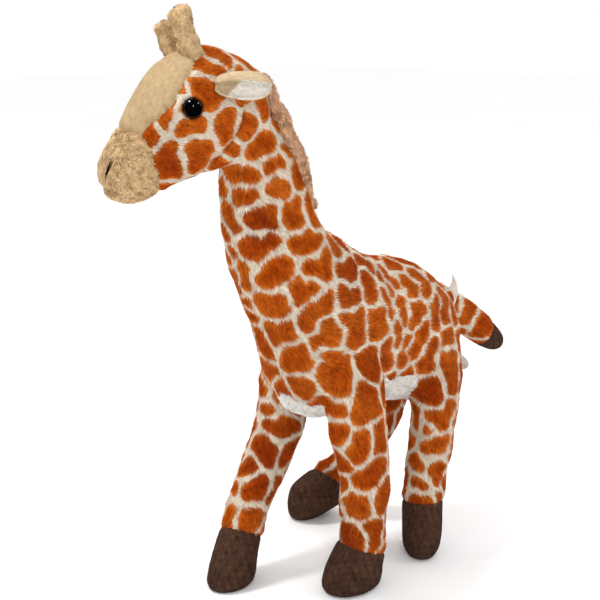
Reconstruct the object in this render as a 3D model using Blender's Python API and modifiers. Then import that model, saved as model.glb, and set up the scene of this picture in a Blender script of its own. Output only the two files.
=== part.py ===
"""A stuffed plush giraffe, standing, with its head turned a little to its own right.

The toy faces -Y, its left side is +X and it stands on z = 0. The stuffed body is lofted from hoops,
fused into one form, and parted by thin discs into head, muzzle, neck, trunk, legs, hooves and tail.
Ears, horns, eyes, mane and the two blank labels are pieces of their own.
"""

import math

import bmesh
import bpy
from mathutils import Matrix, Vector
from mathutils.bvhtree import BVHTree

MM = 0.001

# Driving sizes, in millimetres. Points are given as (left, forward, up) or (forward, up).
FUSE_VOXEL = 1.8  # grid on which the lofted forms are fused
FUSE_SMOOTHING = 6  # passes that round the crotches between fused forms
BODY_TRIANGLES = 4100  # of the fused body, before it is parted
CUT_GAP = 0.3  # air left between two neighbouring pieces
HOOP_SIDES = 28
HORN_SIDES = 12
RINGS_PER_SPAN = 4  # rings that a smooth curve puts between two given hoops

# Trunk and neck, from rump to skull: back point, belly point, half width, shift to the right.
TRUNK_HOOPS = (
    ((-103.5, 126), (-102.5, 112), 5.5, 0),
    ((-99.5, 139), (-97.5, 98), 16, 0),
    ((-91, 148.6), (-87, 88), 22.6, 0),
    ((-76, 160.4), (-73, 83), 27, 0),
    ((-56, 168.2), (-54, 86.5), 28, 0),
    ((-36, 171.8), (-34, 89), 27.5, 0),
    ((-18, 179.4), (-14, 90.5), 28.5, 0),
    ((-7, 187.6), (8, 90.7), 29.5, 0),
    ((2, 191.5), (21, 100), 29.5, 0.3),
    ((8, 198), (29.3, 118), 27.6, 0.8),
    ((11.5, 206), (36.2, 137.9), 25.4, 1.5),
    ((14, 214), (45.5, 156.6), 23.4, 2.0),
    ((16.5, 223), (53.6, 174), 21.5, 2.0),
    ((20, 232), (59, 192), 19.5, 1.4),
    ((24.5, 241), (61, 209), 17.7, 0.6),
    ((29.5, 249.5), (61, 222), 16, 0),
    ((35.5, 257), (60, 233), 14, 0),
    ((42, 262), (57, 243), 9, 0),
)

# The head stands in a frame of its own, with its origin level with and between the eyes.
HEAD_AT = (-12.4, 78.6, 256)
HEAD_TURN = math.radians(-25)  # about +Z, towards the toy's right
HEAD_HOOPS = (
    ((-43, 4), (-42, -5), 6, 0),
    ((-39, 12.4), (-36, -18), 13.5, 0),
    ((-30, 21.1), (-25, -27.5), 19, 0),
    ((-16, 26.2), (-14, -31.5), 22, 0),
    ((-3, 25.8), (-6, -33.5), 22.5, 0),
    ((8.3, 20.9), (0, -35), 22, 0),
    ((15.8, 13.9), (4, -36.5), 20.5, 0),
    ((21.6, 5.3), (8, -38), 18.5, 0),
    ((25.7, -3), (12.5, -40.5), 17.2, 0),
    ((31, -10.5), (18, -43.8), 16.4, 0),
    ((36.5, -18), (25, -44.9), 15.3, 0),
    ((38.6, -26), (32, -43.7), 12.9, 0),
    ((38.2, -32.4), (36.2, -40.6), 6.8, 0),
)
NECK_SEAM = ((-43, 12), (-13, -33))  # across the head, where the head meets the neck
MUZZLE_SEAM = ((29.5, -8.5), (12, -40))  # across the head, where the muzzle meets the face
SHOULDER_SEAM = ((-1, 191), (33, 140))  # across the toy, where the neck meets the trunk

# Each leg: stations down its middle with half widths across and along, then its foot.
# A foot is: middle of the sole, how far its toe turns to the left (degrees), size, tilt of its top seam.
LEGS = {
    "front_left": {
        "stations": (
            ((17, -4, 132), 11, 19),
            ((22, -4, 108), 13.5, 18.5),
            ((24.7, -4.6, 85), 13.6, 18),
            ((25.9, -6.3, 72), 13.2, 15.1),
            ((26.7, -8.1, 58.5), 13, 14),
            ((26.9, -6.7, 41), 12.8, 13.8),
            ((26.3, -6.7, 21.5), 12.6, 13.1),
        ),
        "sole": (25.2, 0.6),
        "toe_turn": -6,
        "size": 1.15,
        "tilt": 20,
    },
    "front_right": {
        "stations": (
            ((-17, -4, 132), 11, 19),
            ((-22.3, 0.3, 108), 13.4, 17),
            ((-24.2, 3, 86), 13.3, 14.4),
            ((-24, 9.8, 72), 13.1, 13.8),
            ((-23.8, 17.4, 59.5), 12.4, 12.7),
            ((-23.4, 27.4, 44), 11.6, 12),
            ((-22.6, 35.2, 27.5), 11.6, 11.9),
        ),
        "sole": (-24, 42.4),
        "toe_turn": 18,
        "size": 1.0,
        "tilt": 30,
        "foot": (
            (-0.25, 10.6, 10.9),
            (0.0, 11.3, 11.8),
            (0.3, 11.8, 13.4),
            (0.58, 12.2, 15.1),
            (0.82, 12.5, 16.2),
            (0.95, 12, 15.7),
            (1.03, 10.2, 13.6),
        ),
    },
    "hind_left": {
        "stations": (
            ((13.4, -73.4, 124), 11.6, 21),
            ((18, -74, 102), 14, 20),
            ((20.2, -72.2, 82), 13, 15.3),
            ((22.2, -67.2, 62), 12.2, 12.9),
            ((23.5, -62.6, 46), 11.8, 12.2),
            ((24.5, -59.1, 32), 11.9, 12.2),
        ),
        "sole": (26.2, -56.8),
        "toe_turn": 42,
        "size": 0.95,
        "tilt": 8,
        "foot": (
            (-0.25, 11.4, 11.7),
            (0.0, 12.1, 12.7),
            (0.3, 12.3, 13.9),
            (0.58, 12.2, 14.9),
            (0.82, 11.4, 14.3),
            (0.95, 9.6, 12.2),
            (1.03, 7.2, 9.6),
        ),
    },
    "hind_right": {
        "stations": (
            ((-14, -74, 124), 12, 22),
            ((-18, -74, 102), 14, 20),
            ((-18.3, -74, 80), 13.8, 15.9),
            ((-25.2, -71.3, 55), 12, 12.5),
            ((-35, -64, 36.5), 10.6, 10.9),
            ((-45, -55.8, 24.5), 10.5, 10.8),
        ),
        "sole": (-55.4, -46.2),
        "toe_turn": -8,
        "size": 1.03,
        "tilt": 42,
        "foot": (
            (-0.25, 10.5, 10.7),
            (0.0, 11.1, 11.8),
            (0.28, 12.1, 16.8),
            (0.45, 12.4, 18.4),
            (0.75, 11.2, 14.8),
            (0.95, 9.2, 10.8),
            (1.03, 7, 8),
        ),
    },
}
# A foot from its top seam down to its sole: share of the way, half widths across and along.
FOOT_HOOPS = (
    (-0.25, 10.6, 10.9),
    (0.0, 11.3, 11.8),
    (0.3, 11.7, 13.4),
    (0.58, 12.0, 15.0),
    (0.82, 12.1, 15.6),
    (0.95, 11.3, 14.7),
    (1.03, 9.3, 12.6),
)
THIGH_SEAMS = {"front_left": 84, "front_right": 84, "hind_left": 80, "hind_right": 80}

TAIL = (
    ((0, -94, 138.5), 8.5, 9),
    ((1, -104.5, 131.6), 9.8, 10.1),
    ((3, -117, 122.8), 10.1, 10.4),
    ((6, -129.2, 114), 9.4, 9.6),
    ((8.2, -137.7, 107.6), 8.1, 8.3),
    ((10, -143.6, 103.1), 6.2, 6.4),
    ((10.8, -146.8, 100.9), 2.8, 2.8),
)
TAIL_ROOT = 0.3  # share of the tail's path at which it leaves the rump
TAIL_SEAM = 0.58  # share of the tail's path at which its dark tip begins

# In the head's frame, on its left side; the right side mirrors it.
EYE_AT = (20.6, -0.6, -0.1)
EYE_RADIUS = 4.7
EYE_DEPTH = 4.3  # half depth of the bead, across the face
EYE_TURN = 14  # degrees that the bead looks forwards

# Horns: foot and top in the head's frame, half width at foot, middle and top, and forward bend.
HORNS = {
    "left": ((5.8, -4.6, 23), (7.3, 1.3, 44), 6, 5.4, 5.6, 0.8),
    "right": ((-10.2, -3.2, 20.5), (-12, 4.9, 37.0), 5.6, 6.2, 4.8, 0.3),
}

# An ear in the head's frame, on its left: a bent wall round a hollow, its upper lip turned down.
EAR_ROOT = (21.2, -10.5, 9.9)
EAR_TIP = (30.6, -34.2, 9.2)
EAR_HALF_HEIGHT = 6.6
EAR_DEPTH = 4.6
EAR_WALL = 1.9
EAR_LIPS = (-108, 158)  # where the wall begins and ends, in degrees up from straight behind
EAR_WIDTHS = (
    (0, 0.42), (0.07, 0.66), (0.2, 0.86), (0.4, 1.0), (0.62, 1.04),
    (0.8, 0.94), (0.92, 0.7), (0.98, 0.4), (1.0, 0.18),
)  # share of the way along, share of full width
EAR_STEPS = 8  # flats round the wall of an ear

# The mane's path, as points beside the nape that it stands on.
MANE_PATH = (
    (4.5, 47.5, 272), (9.4, 44.2, 264.5), (12.6, 42, 257), (12.4, 37.8, 250), (12.5, 33.6, 241),
    (12, 29, 231), (10.5, 25.6, 220.5), (9.2, 22.2, 212), (7.6, 19.2, 206), (6.4, 16.1, 201.5),
)
MANE_HALF_WIDTH = 3.3
MANE_HEIGHT = 3.6
MANE_BULK = (0.5, 1.05, 1.15, 1.15, 1.05, 0.95, 0.8, 0.6, 0.6, 0.45)  # share of full size at each point

# Labels: points down the middle of each ribbon, half width, and the way its width lies.
LABELS = {
    "label_upper": (
        (
            (5, -97.5, 131), (6.2, -101.5, 136.5), (7, -103.9, 141.5),
            (6.8, -104.8, 146), (5.4, -104.6, 150.2),
        ),
        6.0,
        (0.95, -0.12, 0.0),
    ),
    "label_lower": (
        (
            (2.5, -101.5, 107), (4, -105.3, 103.6), (5.2, -109.4, 100.0),
            (6, -112.8, 95.8), (6.4, -115.4, 91.2),
        ),
        7.0,
        (1.0, -0.15, 0.0),
    ),
}
LABEL_THICKNESS = 0.6

ORIGIN = (-11.2055, -17.0656)  # left and forward of the middle of the standing toy, from the drawing's origin


def clear_scene():
    """Removes every object that the scene starts with."""
    for obj in list(bpy.data.objects):
        bpy.data.objects.remove(obj, do_unlink=True)


def spot(left, forward, up):
    """A point given as distances to the toy's left, forwards and up, in metres."""
    return Vector((left, -forward, up)) * MM


def new_object(name, fill, collection):
    """Makes a mesh object from a function that fills a bmesh."""
    mesh = bpy.data.meshes.new(name)
    form = bmesh.new()
    fill(form)
    bmesh.ops.recalc_face_normals(form, faces=form.faces)
    form.to_mesh(mesh)
    form.free()
    obj = bpy.data.objects.new(name, mesh)
    collection.objects.link(obj)
    return obj


def material(name, colour, roughness):
    """A Principled material of one colour."""
    made = bpy.data.materials.new(name)
    made.use_nodes = True
    shader = made.node_tree.nodes["Principled BSDF"]
    shader.inputs["Base Color"].default_value = (*colour, 1.0)
    shader.inputs["Roughness"].default_value = roughness
    return made


def smooth_through(rows, steps):
    """Catmull-Rom curve through rows of numbers, with the given number of steps to each span."""
    rows = [Vector(row) for row in rows]
    ends = [2 * rows[0] - rows[1], *rows, 2 * rows[-1] - rows[-2]]
    made = []
    for a, b, c, d in zip(ends, ends[1:], ends[2:], ends[3:]):
        for step in range(steps):
            t = step / steps
            made.append(
                0.5 * (2 * b + (c - a) * t + (2 * a - 5 * b + 4 * c - d) * t * t
                       + (3 * b - a - 3 * c + d) * t * t * t)
            )
    made.append(rows[-1])
    return made


def loft(form, rings):
    """Joins rings of equally many points into one closed tube."""
    made = [[form.verts.new(point) for point in ring] for ring in rings]
    for lower, upper in zip(made, made[1:]):
        for i, start in enumerate(lower):
            j = (i + 1) % len(lower)
            form.faces.new((start, lower[j], upper[j], upper[i]))
    form.faces.new(list(reversed(made[0])))
    form.faces.new(made[-1])


def ellipse(centre, half_a, half_b, sides=HOOP_SIDES):
    """Points round an ellipse with the two given half axes."""
    turns = (2 * math.pi * i / sides for i in range(sides))
    return [centre + half_a * math.cos(t) + half_b * math.sin(t) for t in turns]


def hoop_rings(hoops):
    """Rings that stand level across the toy, from hoops of back point, belly point, half width and shift."""
    rings = []
    for row in smooth_through([(*back, *belly, *sizes) for back, belly, *sizes in hoops], RINGS_PER_SPAN):
        top, bottom = spot(-row[5], row[0], row[1]), spot(-row[5], row[2], row[3])
        rings.append(ellipse((top + bottom) / 2, (top - bottom) / 2, spot(row[4], 0, 0)))
    return rings


def limb_rings(stations):
    """Rings square to a limb's path, from stations of middle, half width across, half width along."""
    smooth = smooth_through([(*middle, across, along) for middle, across, along in stations], RINGS_PER_SPAN)
    middles = [spot(*row[:3]) for row in smooth]
    rings = []
    for i, row in enumerate(smooth):
        ahead, behind = middles[min(i + 1, len(middles) - 1)], middles[max(i - 1, 0)]
        way = (ahead - behind).normalized()
        across = (Vector((1, 0, 0)) - way * way.x).normalized()
        along = way.cross(across)
        rings.append(ellipse(middles[i], across * row[3] * MM, along * row[4] * MM))
    return rings


def way_of_toe(leg):
    """The level direction in which a foot points."""
    turn = math.radians(leg["toe_turn"])
    return spot(math.sin(turn), math.cos(turn), 0).normalized()


def foot_top(leg):
    """Middle of a foot's top seam and the seam's normal, which points down into the foot."""
    tilt = math.radians(leg["tilt"])
    down = way_of_toe(leg) * math.sin(tilt) - Vector((0, 0, 1)) * math.cos(tilt)
    return spot(*leg["stations"][-1][0]), down


def foot_rings(leg):
    """Rings of a foot, from square to the ankle at its top to level at its sole."""
    toe = way_of_toe(leg)
    top, normal = foot_top(leg)
    sole = spot(*leg["sole"], 0)
    rings = []
    for share, half_across, half_along in smooth_through(leg.get("foot", FOOT_HOOPS), 3):
        level = min(max(share, 0.0), 1.0)
        way = normal.lerp(Vector((0, 0, -1)), level).normalized()
        along = (toe - way * way.dot(toe)).normalized()
        side = way.cross(along)
        middle = top.lerp(sole, share) + toe * 1.5 * MM * math.sin(math.pi * level)
        size = leg["size"] * MM
        rings.append(ellipse(middle, side * half_across * size, along * half_along * size))
    return rings


def head_matrix():
    """Carries the head's own frame into the toy's frame."""
    return Matrix.Translation(spot(*HEAD_AT)) @ Matrix.Rotation(HEAD_TURN, 4, "Z")


def body_forms(collection):
    """The overlapping closed forms that fuse into the stuffed body."""
    made = [
        new_object("form_trunk", lambda form: loft(form, hoop_rings(TRUNK_HOOPS)), collection),
        new_object("form_head", lambda form: loft(form, hoop_rings(HEAD_HOOPS)), collection),
        new_object("form_tail", lambda form: loft(form, limb_rings(TAIL)), collection),
    ]
    made[1].data.transform(head_matrix())
    for name, leg in LEGS.items():
        limb, foot = limb_rings(leg["stations"]), foot_rings(leg)
        made.append(new_object(f"form_leg_{name}", lambda form, rings=limb: loft(form, rings), collection))
        made.append(new_object(f"form_foot_{name}", lambda form, rings=foot: loft(form, rings), collection))
    return made


def bake(obj):
    """Applies an object's modifiers to its mesh."""
    bpy.context.view_layer.update()
    graph = bpy.context.evaluated_depsgraph_get()
    mesh = bpy.data.meshes.new_from_object(obj.evaluated_get(graph))
    obj.modifiers.clear()
    obj.data = mesh
    mesh.name = obj.name


def flatten_soles(mesh):
    """Cuts off what hangs below the ground and closes the soles flat."""
    form = bmesh.new()
    form.from_mesh(mesh)
    everything = form.verts[:] + form.edges[:] + form.faces[:]
    bmesh.ops.bisect_plane(
        form, geom=everything, dist=1e-7, plane_co=(0, 0, 0), plane_no=(0, 0, 1), clear_inner=True
    )
    bmesh.ops.holes_fill(form, edges=[edge for edge in form.edges if edge.is_boundary], sides=0)
    bmesh.ops.triangulate(form, faces=form.faces)
    bmesh.ops.recalc_face_normals(form, faces=form.faces)
    form.to_mesh(mesh)
    form.free()


def fused_body(collection):
    """One closed mesh fused from all the stuffed forms, standing on flat soles."""
    whole = bmesh.new()
    for form in body_forms(collection):
        whole.from_mesh(form.data)
        bpy.data.objects.remove(form)
    mesh = bpy.data.meshes.new("body")
    whole.to_mesh(mesh)
    whole.free()
    body = bpy.data.objects.new("body", mesh)
    collection.objects.link(body)
    remesh = body.modifiers.new("fuse", "REMESH")
    remesh.mode = "VOXEL"
    remesh.voxel_size = FUSE_VOXEL * MM
    smooth = body.modifiers.new("round", "SMOOTH")
    smooth.factor = 0.5
    smooth.iterations = FUSE_SMOOTHING
    bake(body)
    body.data.calc_loop_triangles()
    thin = body.modifiers.new("thin", "DECIMATE")
    thin.ratio = BODY_TRIANGLES / len(body.data.loop_triangles)
    bake(body)
    flatten_soles(body.data)
    return body


def islands(form):
    """The connected pieces of a bmesh, each as a set of vertices."""
    left, made = set(form.verts), []
    while left:
        todo = [left.pop()]
        piece = set(todo)
        while todo:
            for edge in todo.pop().link_edges:
                for vert in edge.verts:
                    if vert in left:
                        left.remove(vert)
                        piece.add(vert)
                        todo.append(vert)
        made.append(piece)
    return made


def disc(form, cut, radius):
    """Adds a closed disc as thin as the gap between two pieces, square to a cut's normal."""
    point, normal = cut
    turn = Vector(normal).to_track_quat("Z", "Y").to_matrix().to_4x4()
    bmesh.ops.create_cone(
        form, cap_ends=True, segments=32, radius1=radius * MM, radius2=radius * MM,
        depth=CUT_GAP * MM, matrix=Matrix.Translation(point) @ turn,
    )


def cut_by(obj, cutter):
    """Cuts one closed object with another, and applies the cut."""
    cut = obj.modifiers.new("cut", "BOOLEAN")
    cut.operation = "DIFFERENCE"
    cut.object = cutter
    cut.solver = "EXACT"
    bake(obj)


def seam_plane(ends, frame=Matrix.Identity(4)):
    """The plane that crosses the toy from side to side through two points given as (forward, up)."""
    top, low = (frame @ spot(0, *end) for end in ends)
    sideways = frame.to_3x3() @ Vector((1, 0, 0))
    return (top + low) / 2, sideways.cross(low - top).normalized()


def tail_plane(share):
    """A plane square to the tail's path, at a share of its length."""
    middles = [spot(*row[:3]) for row in smooth_through([(*m, a, b) for m, a, b in TAIL], 8)]
    at = round(share * (len(middles) - 1))
    return middles[at], (middles[at + 1] - middles[at - 1]).normalized()


def part_body(body, looks, collection, cutters):
    """Cuts the fused body with thin discs and names each piece after a point that it holds."""
    frame = head_matrix()
    # Each cut is a plane and the radius of its disc, wide enough for that neck, limb or tail alone.
    cuts = [
        (seam_plane(SHOULDER_SEAM), 58),
        (seam_plane(NECK_SEAM, frame), 33),
        (seam_plane(MUZZLE_SEAM, frame), 26),
        (tail_plane(TAIL_ROOT), 17),
        (tail_plane(TAIL_SEAM), 12),
    ]
    parts = {
        "muzzle": (frame @ spot(0, 37, -32), "tan"),
        "head": (frame @ spot(0, -3, 24), "patched"),
        "neck": (spot(0, 20, 232), "patched"),
        "trunk": (spot(0, -56, 168), "patched"),
        "tail": (spot(5, -131, 127), "patched"),
        "tail_tip": (spot(11, -148, 100), "brown"),
    }
    for name, leg in LEGS.items():
        middles = [station[0] for station in leg["stations"]]
        thigh = min(middles, key=lambda middle: abs(middle[2] - THIGH_SEAMS[name]))
        cuts.append(((spot(*thigh[:2], THIGH_SEAMS[name]), Vector((0, 0, 1))), 21))
        cuts.append((foot_top(leg), 17))
        parts[f"leg_{name}"] = (spot(*middles[-2]), "patched")
        parts[f"hoof_{name}"] = (spot(*leg["sole"], 0), "brown")

    knife = new_object("parting_discs", lambda form: [disc(form, *cut) for cut in cuts], cutters)
    knife.hide_render = True
    knife.display_type = "WIRE"
    cut_by(body, knife)

    whole = bmesh.new()
    whole.from_mesh(body.data)
    pieces = islands(whole)
    made = {}
    for name, (near, look) in parts.items():
        piece = min(pieces, key=lambda piece: min((vert.co - near).length_squared for vert in piece))
        kept = {vert.index for vert in piece}
        form = bmesh.new()
        form.from_mesh(body.data)
        form.verts.ensure_lookup_table()
        bmesh.ops.delete(form, geom=[v for v in form.verts if v.index not in kept], context="VERTS")
        bmesh.ops.triangulate(form, faces=[face for face in form.faces if len(face.verts) > 3])
        mesh = bpy.data.meshes.new(name)
        form.to_mesh(mesh)
        form.free()
        mesh.materials.append(looks[look])
        made[name] = bpy.data.objects.new(name, mesh)
        collection.objects.link(made[name])
    whole.free()
    return made


def mirrored(point, side):
    """A point of the left side carried to the given side, which is 1 for left and -1 for right."""
    return (point[0] * side, point[1], point[2])


def bead(side, grow=0.0):
    """Matrix of a unit ball that is an eye: a bead, flattened across the face."""
    turn = Matrix.Rotation(-side * math.radians(EYE_TURN), 4, "Z")
    radius, depth = EYE_RADIUS + grow, EYE_DEPTH + grow
    return (
        head_matrix() @ Matrix.Translation(spot(*mirrored(EYE_AT, side))) @ turn
        @ Matrix.Diagonal((depth * MM, radius * MM, radius * MM, 1))
    )


def ball(form, matrix, across=14, rings=8):
    """Adds a ball squeezed and placed by a matrix."""
    bmesh.ops.create_uvsphere(form, u_segments=across, v_segments=rings, radius=1.0, matrix=matrix)


def build_eyes(parts, looks, collection, cutters):
    """Beads that sit in sockets of the head."""
    for name, side in (("eye_left", 1), ("eye_right", -1)):
        socket = new_object(f"socket_{name}", lambda form: ball(form, bead(side, CUT_GAP)), cutters)
        socket.hide_render = True
        socket.display_type = "WIRE"
        cut_by(parts["head"], socket)
        eye = new_object(name, lambda form: ball(form, bead(side)), collection)
        eye.data.materials.append(looks["bead"])


def stand_off(body, cutters):
    """The body grown by the gap, which keeps the pieces sewn to it clear of it."""
    mesh = body.data.copy()
    obj = bpy.data.objects.new("standing_off", mesh)
    cutters.objects.link(obj)
    grow = obj.modifiers.new("grow", "DISPLACE")
    grow.strength = CUT_GAP * MM
    grow.mid_level = 0.0
    bake(obj)
    obj.hide_render = True
    obj.display_type = "WIRE"
    return obj


def horn_rings(foot, top, low, middle, high, bow):
    """Rings of a horn with a rounded, slightly knobbed top."""
    frame = head_matrix()
    start, end = frame @ spot(*foot), frame @ spot(*top)
    way = (end - start).normalized()
    side = way.cross(Vector((0, 1, 0))).normalized()
    rows = (
        (0, low), (0.45, middle), (0.75, high), (0.88, high * 0.97), (0.96, high * 0.76), (1.0, high * 0.4),
    )
    made = []
    for share, half in smooth_through(rows, 2):
        bend = frame.to_3x3() @ spot(0, bow * 4 * share * (1 - share), 0)
        centre = start.lerp(end, share) + bend
        made.append(ellipse(centre, side * half * MM, way.cross(side) * half * MM, HORN_SIDES))
    return made


def ear_rings(side):
    """Rings of the bent wall along an ear, open on the white side."""
    frame = head_matrix()
    root, tip = (frame @ spot(*mirrored(point, side)) for point in (EAR_ROOT, EAR_TIP))
    way = (tip - root).normalized()
    opens = (way.cross(Vector((0, 0, 1))) * -side).normalized()
    up = opens.cross(way) * side
    if up.z < 0:
        up = -up
    if (root - frame @ spot(0, *EAR_ROOT[1:])).dot(opens) < 0:
        opens = -opens
    rings = []
    for share, width in smooth_through(EAR_WIDTHS, 2):
        middle = root.lerp(tip, share)
        outer, inner = [], []
        for step in range(EAR_STEPS + 1):
            turn = math.radians(EAR_LIPS[0] + (EAR_LIPS[1] - EAR_LIPS[0]) * step / EAR_STEPS)
            for arc, drawn in ((outer, 0.0), (inner, EAR_WALL)):
                high = max(EAR_HALF_HEIGHT * width - drawn, 0.5 / (1 + drawn))
                deep = max(EAR_DEPTH * (0.4 + 0.6 * width) - drawn, 0.4 / (1 + drawn))
                arc.append(middle - opens * math.cos(turn) * deep * MM + up * math.sin(turn) * high * MM)
        rings.append(outer + list(reversed(inner)))
    return rings


def mane_rings(skin):
    """Rings along the nape, whose feet follow the skin."""
    rows = []
    for point, full in zip(MANE_PATH, MANE_BULK):
        rows.append((*skin.find_nearest(spot(*point))[0], full))
    rows = smooth_through(rows, 2)
    rings = []
    for i, row in enumerate(rows):
        ahead, behind = rows[min(i + 1, len(rows) - 1)], rows[max(i - 1, 0)]
        way = Vector((ahead - behind)[:3]).normalized()
        near, normal, _, _ = skin.find_nearest(Vector(row[:3]))
        full = row[3]
        out = (normal - way * normal.dot(way)).normalized()
        side = way.cross(out)
        ring = []
        for step in range(7):
            turn = math.pi * step / 6
            lift = math.sin(turn) ** 0.7 * MANE_HEIGHT * full
            ring.append(near + side * math.cos(turn) * MANE_HALF_WIDTH * full * MM + out * lift * MM)
        ring.append(near - side * MANE_HALF_WIDTH * full * 0.6 * MM - out * 2.5 * MM)
        ring.append(near + side * MANE_HALF_WIDTH * full * 0.6 * MM - out * 2.5 * MM)
        rings.append(ring)
    return rings


def ribbon_rings(path, half_width, lies):
    """Rings of a thin ribbon that bends along a path."""
    way_of_width = spot(*lies).normalized()
    points = smooth_through([tuple(spot(*point)) for point in path], 3)
    rings = []
    for i, point in enumerate(points):
        way = (points[min(i + 1, len(points) - 1)] - points[max(i - 1, 0)]).normalized()
        across = (way_of_width - way * way_of_width.dot(way)).normalized() * half_width * MM
        thick = way.cross(across).normalized() * LABEL_THICKNESS / 2 * MM
        rings.append([
            point - across - thick, point + across - thick,
            point + across + thick, point - across + thick,
        ])
    return rings


def sewn_on(name, rings, look, standing, collection, looks):
    """A lofted piece, cut clear of the body; only its largest island is kept."""
    obj = new_object(name, lambda form: loft(form, rings), collection)
    cut_by(obj, standing)
    form = bmesh.new()
    form.from_mesh(obj.data)
    kept = max(islands(form), key=len)
    bmesh.ops.delete(form, geom=[vert for vert in form.verts if vert not in kept], context="VERTS")
    bmesh.ops.triangulate(form, faces=[face for face in form.faces if len(face.verts) > 3])
    form.to_mesh(obj.data)
    form.free()
    obj.data.materials.clear()
    obj.data.materials.append(looks[look])
    return obj


def stand_over_origin(collection):
    """Parents every node to an empty that stands the toy over the origin, and shades the nodes smooth."""
    stand = bpy.data.objects.new("giraffe", None)
    stand.location = -spot(*ORIGIN, 0)
    for obj in list(collection.objects):
        obj.data.shade_smooth()
        obj.data.set_sharp_from_angle(angle=math.radians(50))
        obj.parent = stand
    collection.objects.link(stand)


def main():
    """Builds the toy: its body, parted, and then the pieces sewn on to it."""
    clear_scene()
    collection = bpy.data.collections.new("giraffe")
    cutters = bpy.data.collections.new("cutters")
    bpy.context.scene.collection.children.link(collection)
    bpy.context.scene.collection.children.link(cutters)
    looks = {
        "patched": material("patched_plush", (0.66, 0.22, 0.04), 0.9),
        "tan": material("tan_plush", (0.72, 0.52, 0.3), 0.9),
        "brown": material("brown_plush", (0.08, 0.05, 0.04), 0.9),
        "mane": material("mane_plush", (0.5, 0.2, 0.11), 0.9),
        "bead": material("eye_bead", (0.004, 0.004, 0.005), 0.08),
        "satin": material("label_satin", (0.72, 0.68, 0.66), 0.4),
    }
    body = fused_body(collection)
    standing = stand_off(body, cutters)
    skin = BVHTree.FromObject(body, bpy.context.evaluated_depsgraph_get())
    manes = mane_rings(skin)
    parts = part_body(body, looks, collection, cutters)
    bpy.data.objects.remove(body)
    build_eyes(parts, looks, collection, cutters)
    for name, horn in HORNS.items():
        sewn_on(f"horn_{name}", horn_rings(*horn), "tan", standing, collection, looks)
    for name, side in (("ear_left", 1), ("ear_right", -1)):
        sewn_on(name, ear_rings(side), "tan", standing, collection, looks)
    sewn_on("mane", manes, "mane", standing, collection, looks)
    for name, (path, half_width, lies) in LABELS.items():
        sewn_on(name, ribbon_rings(path, half_width, lies), "satin", standing, collection, looks)
    stand_over_origin(collection)


main()
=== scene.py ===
"""Looks of a stuffed plush giraffe that stands on four splayed legs with its head turned to its right.

The stuffed body is one skin with sewn grooves, eye sockets and folds. Short pile lies over it: joined
tufts, one coat piece to a panel of the toy, all leaning back and a little down. Skin and pile carry the
same printed net of patches. Bead eyes, horns, ears, the mane and two blank satin labels are sewn on.

Places are given in millimetres of the toy's drawing, as (left, forward, up), and turned into metres of
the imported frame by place().
"""

from __future__ import annotations

import logging
import math
from collections.abc import Callable, Sequence
from dataclasses import dataclass, field
from enum import Enum
from functools import cache

import bmesh
import bpy
import numpy as np
from mathutils import Matrix, Vector
from mathutils.bvhtree import BVHTree
from mathutils.kdtree import KDTree


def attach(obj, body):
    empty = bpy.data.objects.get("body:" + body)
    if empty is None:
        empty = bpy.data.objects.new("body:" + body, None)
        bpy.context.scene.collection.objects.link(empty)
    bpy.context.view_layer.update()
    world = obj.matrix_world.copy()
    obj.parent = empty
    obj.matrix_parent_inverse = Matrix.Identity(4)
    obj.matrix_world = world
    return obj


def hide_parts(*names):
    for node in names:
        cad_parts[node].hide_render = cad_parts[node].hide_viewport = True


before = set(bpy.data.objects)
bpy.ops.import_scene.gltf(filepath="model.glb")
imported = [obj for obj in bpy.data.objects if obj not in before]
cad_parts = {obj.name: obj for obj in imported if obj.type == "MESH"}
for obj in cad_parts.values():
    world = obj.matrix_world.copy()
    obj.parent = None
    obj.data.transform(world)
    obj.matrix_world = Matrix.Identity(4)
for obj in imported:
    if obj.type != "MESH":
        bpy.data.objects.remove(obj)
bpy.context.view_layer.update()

log = logging.getLogger("plush")

MM = 0.001
ORIGIN = (-11.2055, -17.0656)  # left and forward of the middle of the standing toy, from the drawing's origin
HOOP_SIDES = 40
STEPS = 5  # rings that a smooth curve puts between two given hoops
BODY = "root"
BORDER_REACH = 9.0  # how far inside or outside a zone is still told apart, mm
MM_TO_A_DEGREE = 0.45  # round the belly
PLAIN = 9.0  # how far inside a patch plush without a net counts as, mm
# The skin takes the pile's painted root shade as if at this height up a tuft.
SKIN_TIP = 0.3  # how far up a tuft's colour the skin's own is taken

Numbers = Sequence[float]
Colour = tuple[float, float, float]
Socket = bpy.types.NodeSocket


def way(left: float, forward: float, up: float) -> Vector:
    """A step to the toy's left, forwards and up, in metres."""
    return Vector((left, -forward, up)) * MM


def place(left: float, forward: float, up: float) -> Vector:
    """A point of the toy's drawing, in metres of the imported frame."""
    return way(left - ORIGIN[0], forward - ORIGIN[1], up)


def linear(red: int, green: int, blue: int) -> Colour:
    """A colour given in steps of 255, as linear light."""
    shares = (value / 255 for value in (red, green, blue))
    return tuple(x / 12.92 if x <= 0.04045 else ((x + 0.055) / 1.055) ** 2.4 for x in shares)


def heading_at(path: Sequence[Vector], at: int) -> Vector:
    """The way that a path runs at one of its points."""
    return (path[min(at + 1, len(path) - 1)] - path[max(at - 1, 0)]).normalized()


def square_to(heading: Vector, near: Vector) -> Vector:
    """The direction square to a heading that lies nearest to another one."""
    return (near - heading * near.dot(heading)).normalized()


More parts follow.
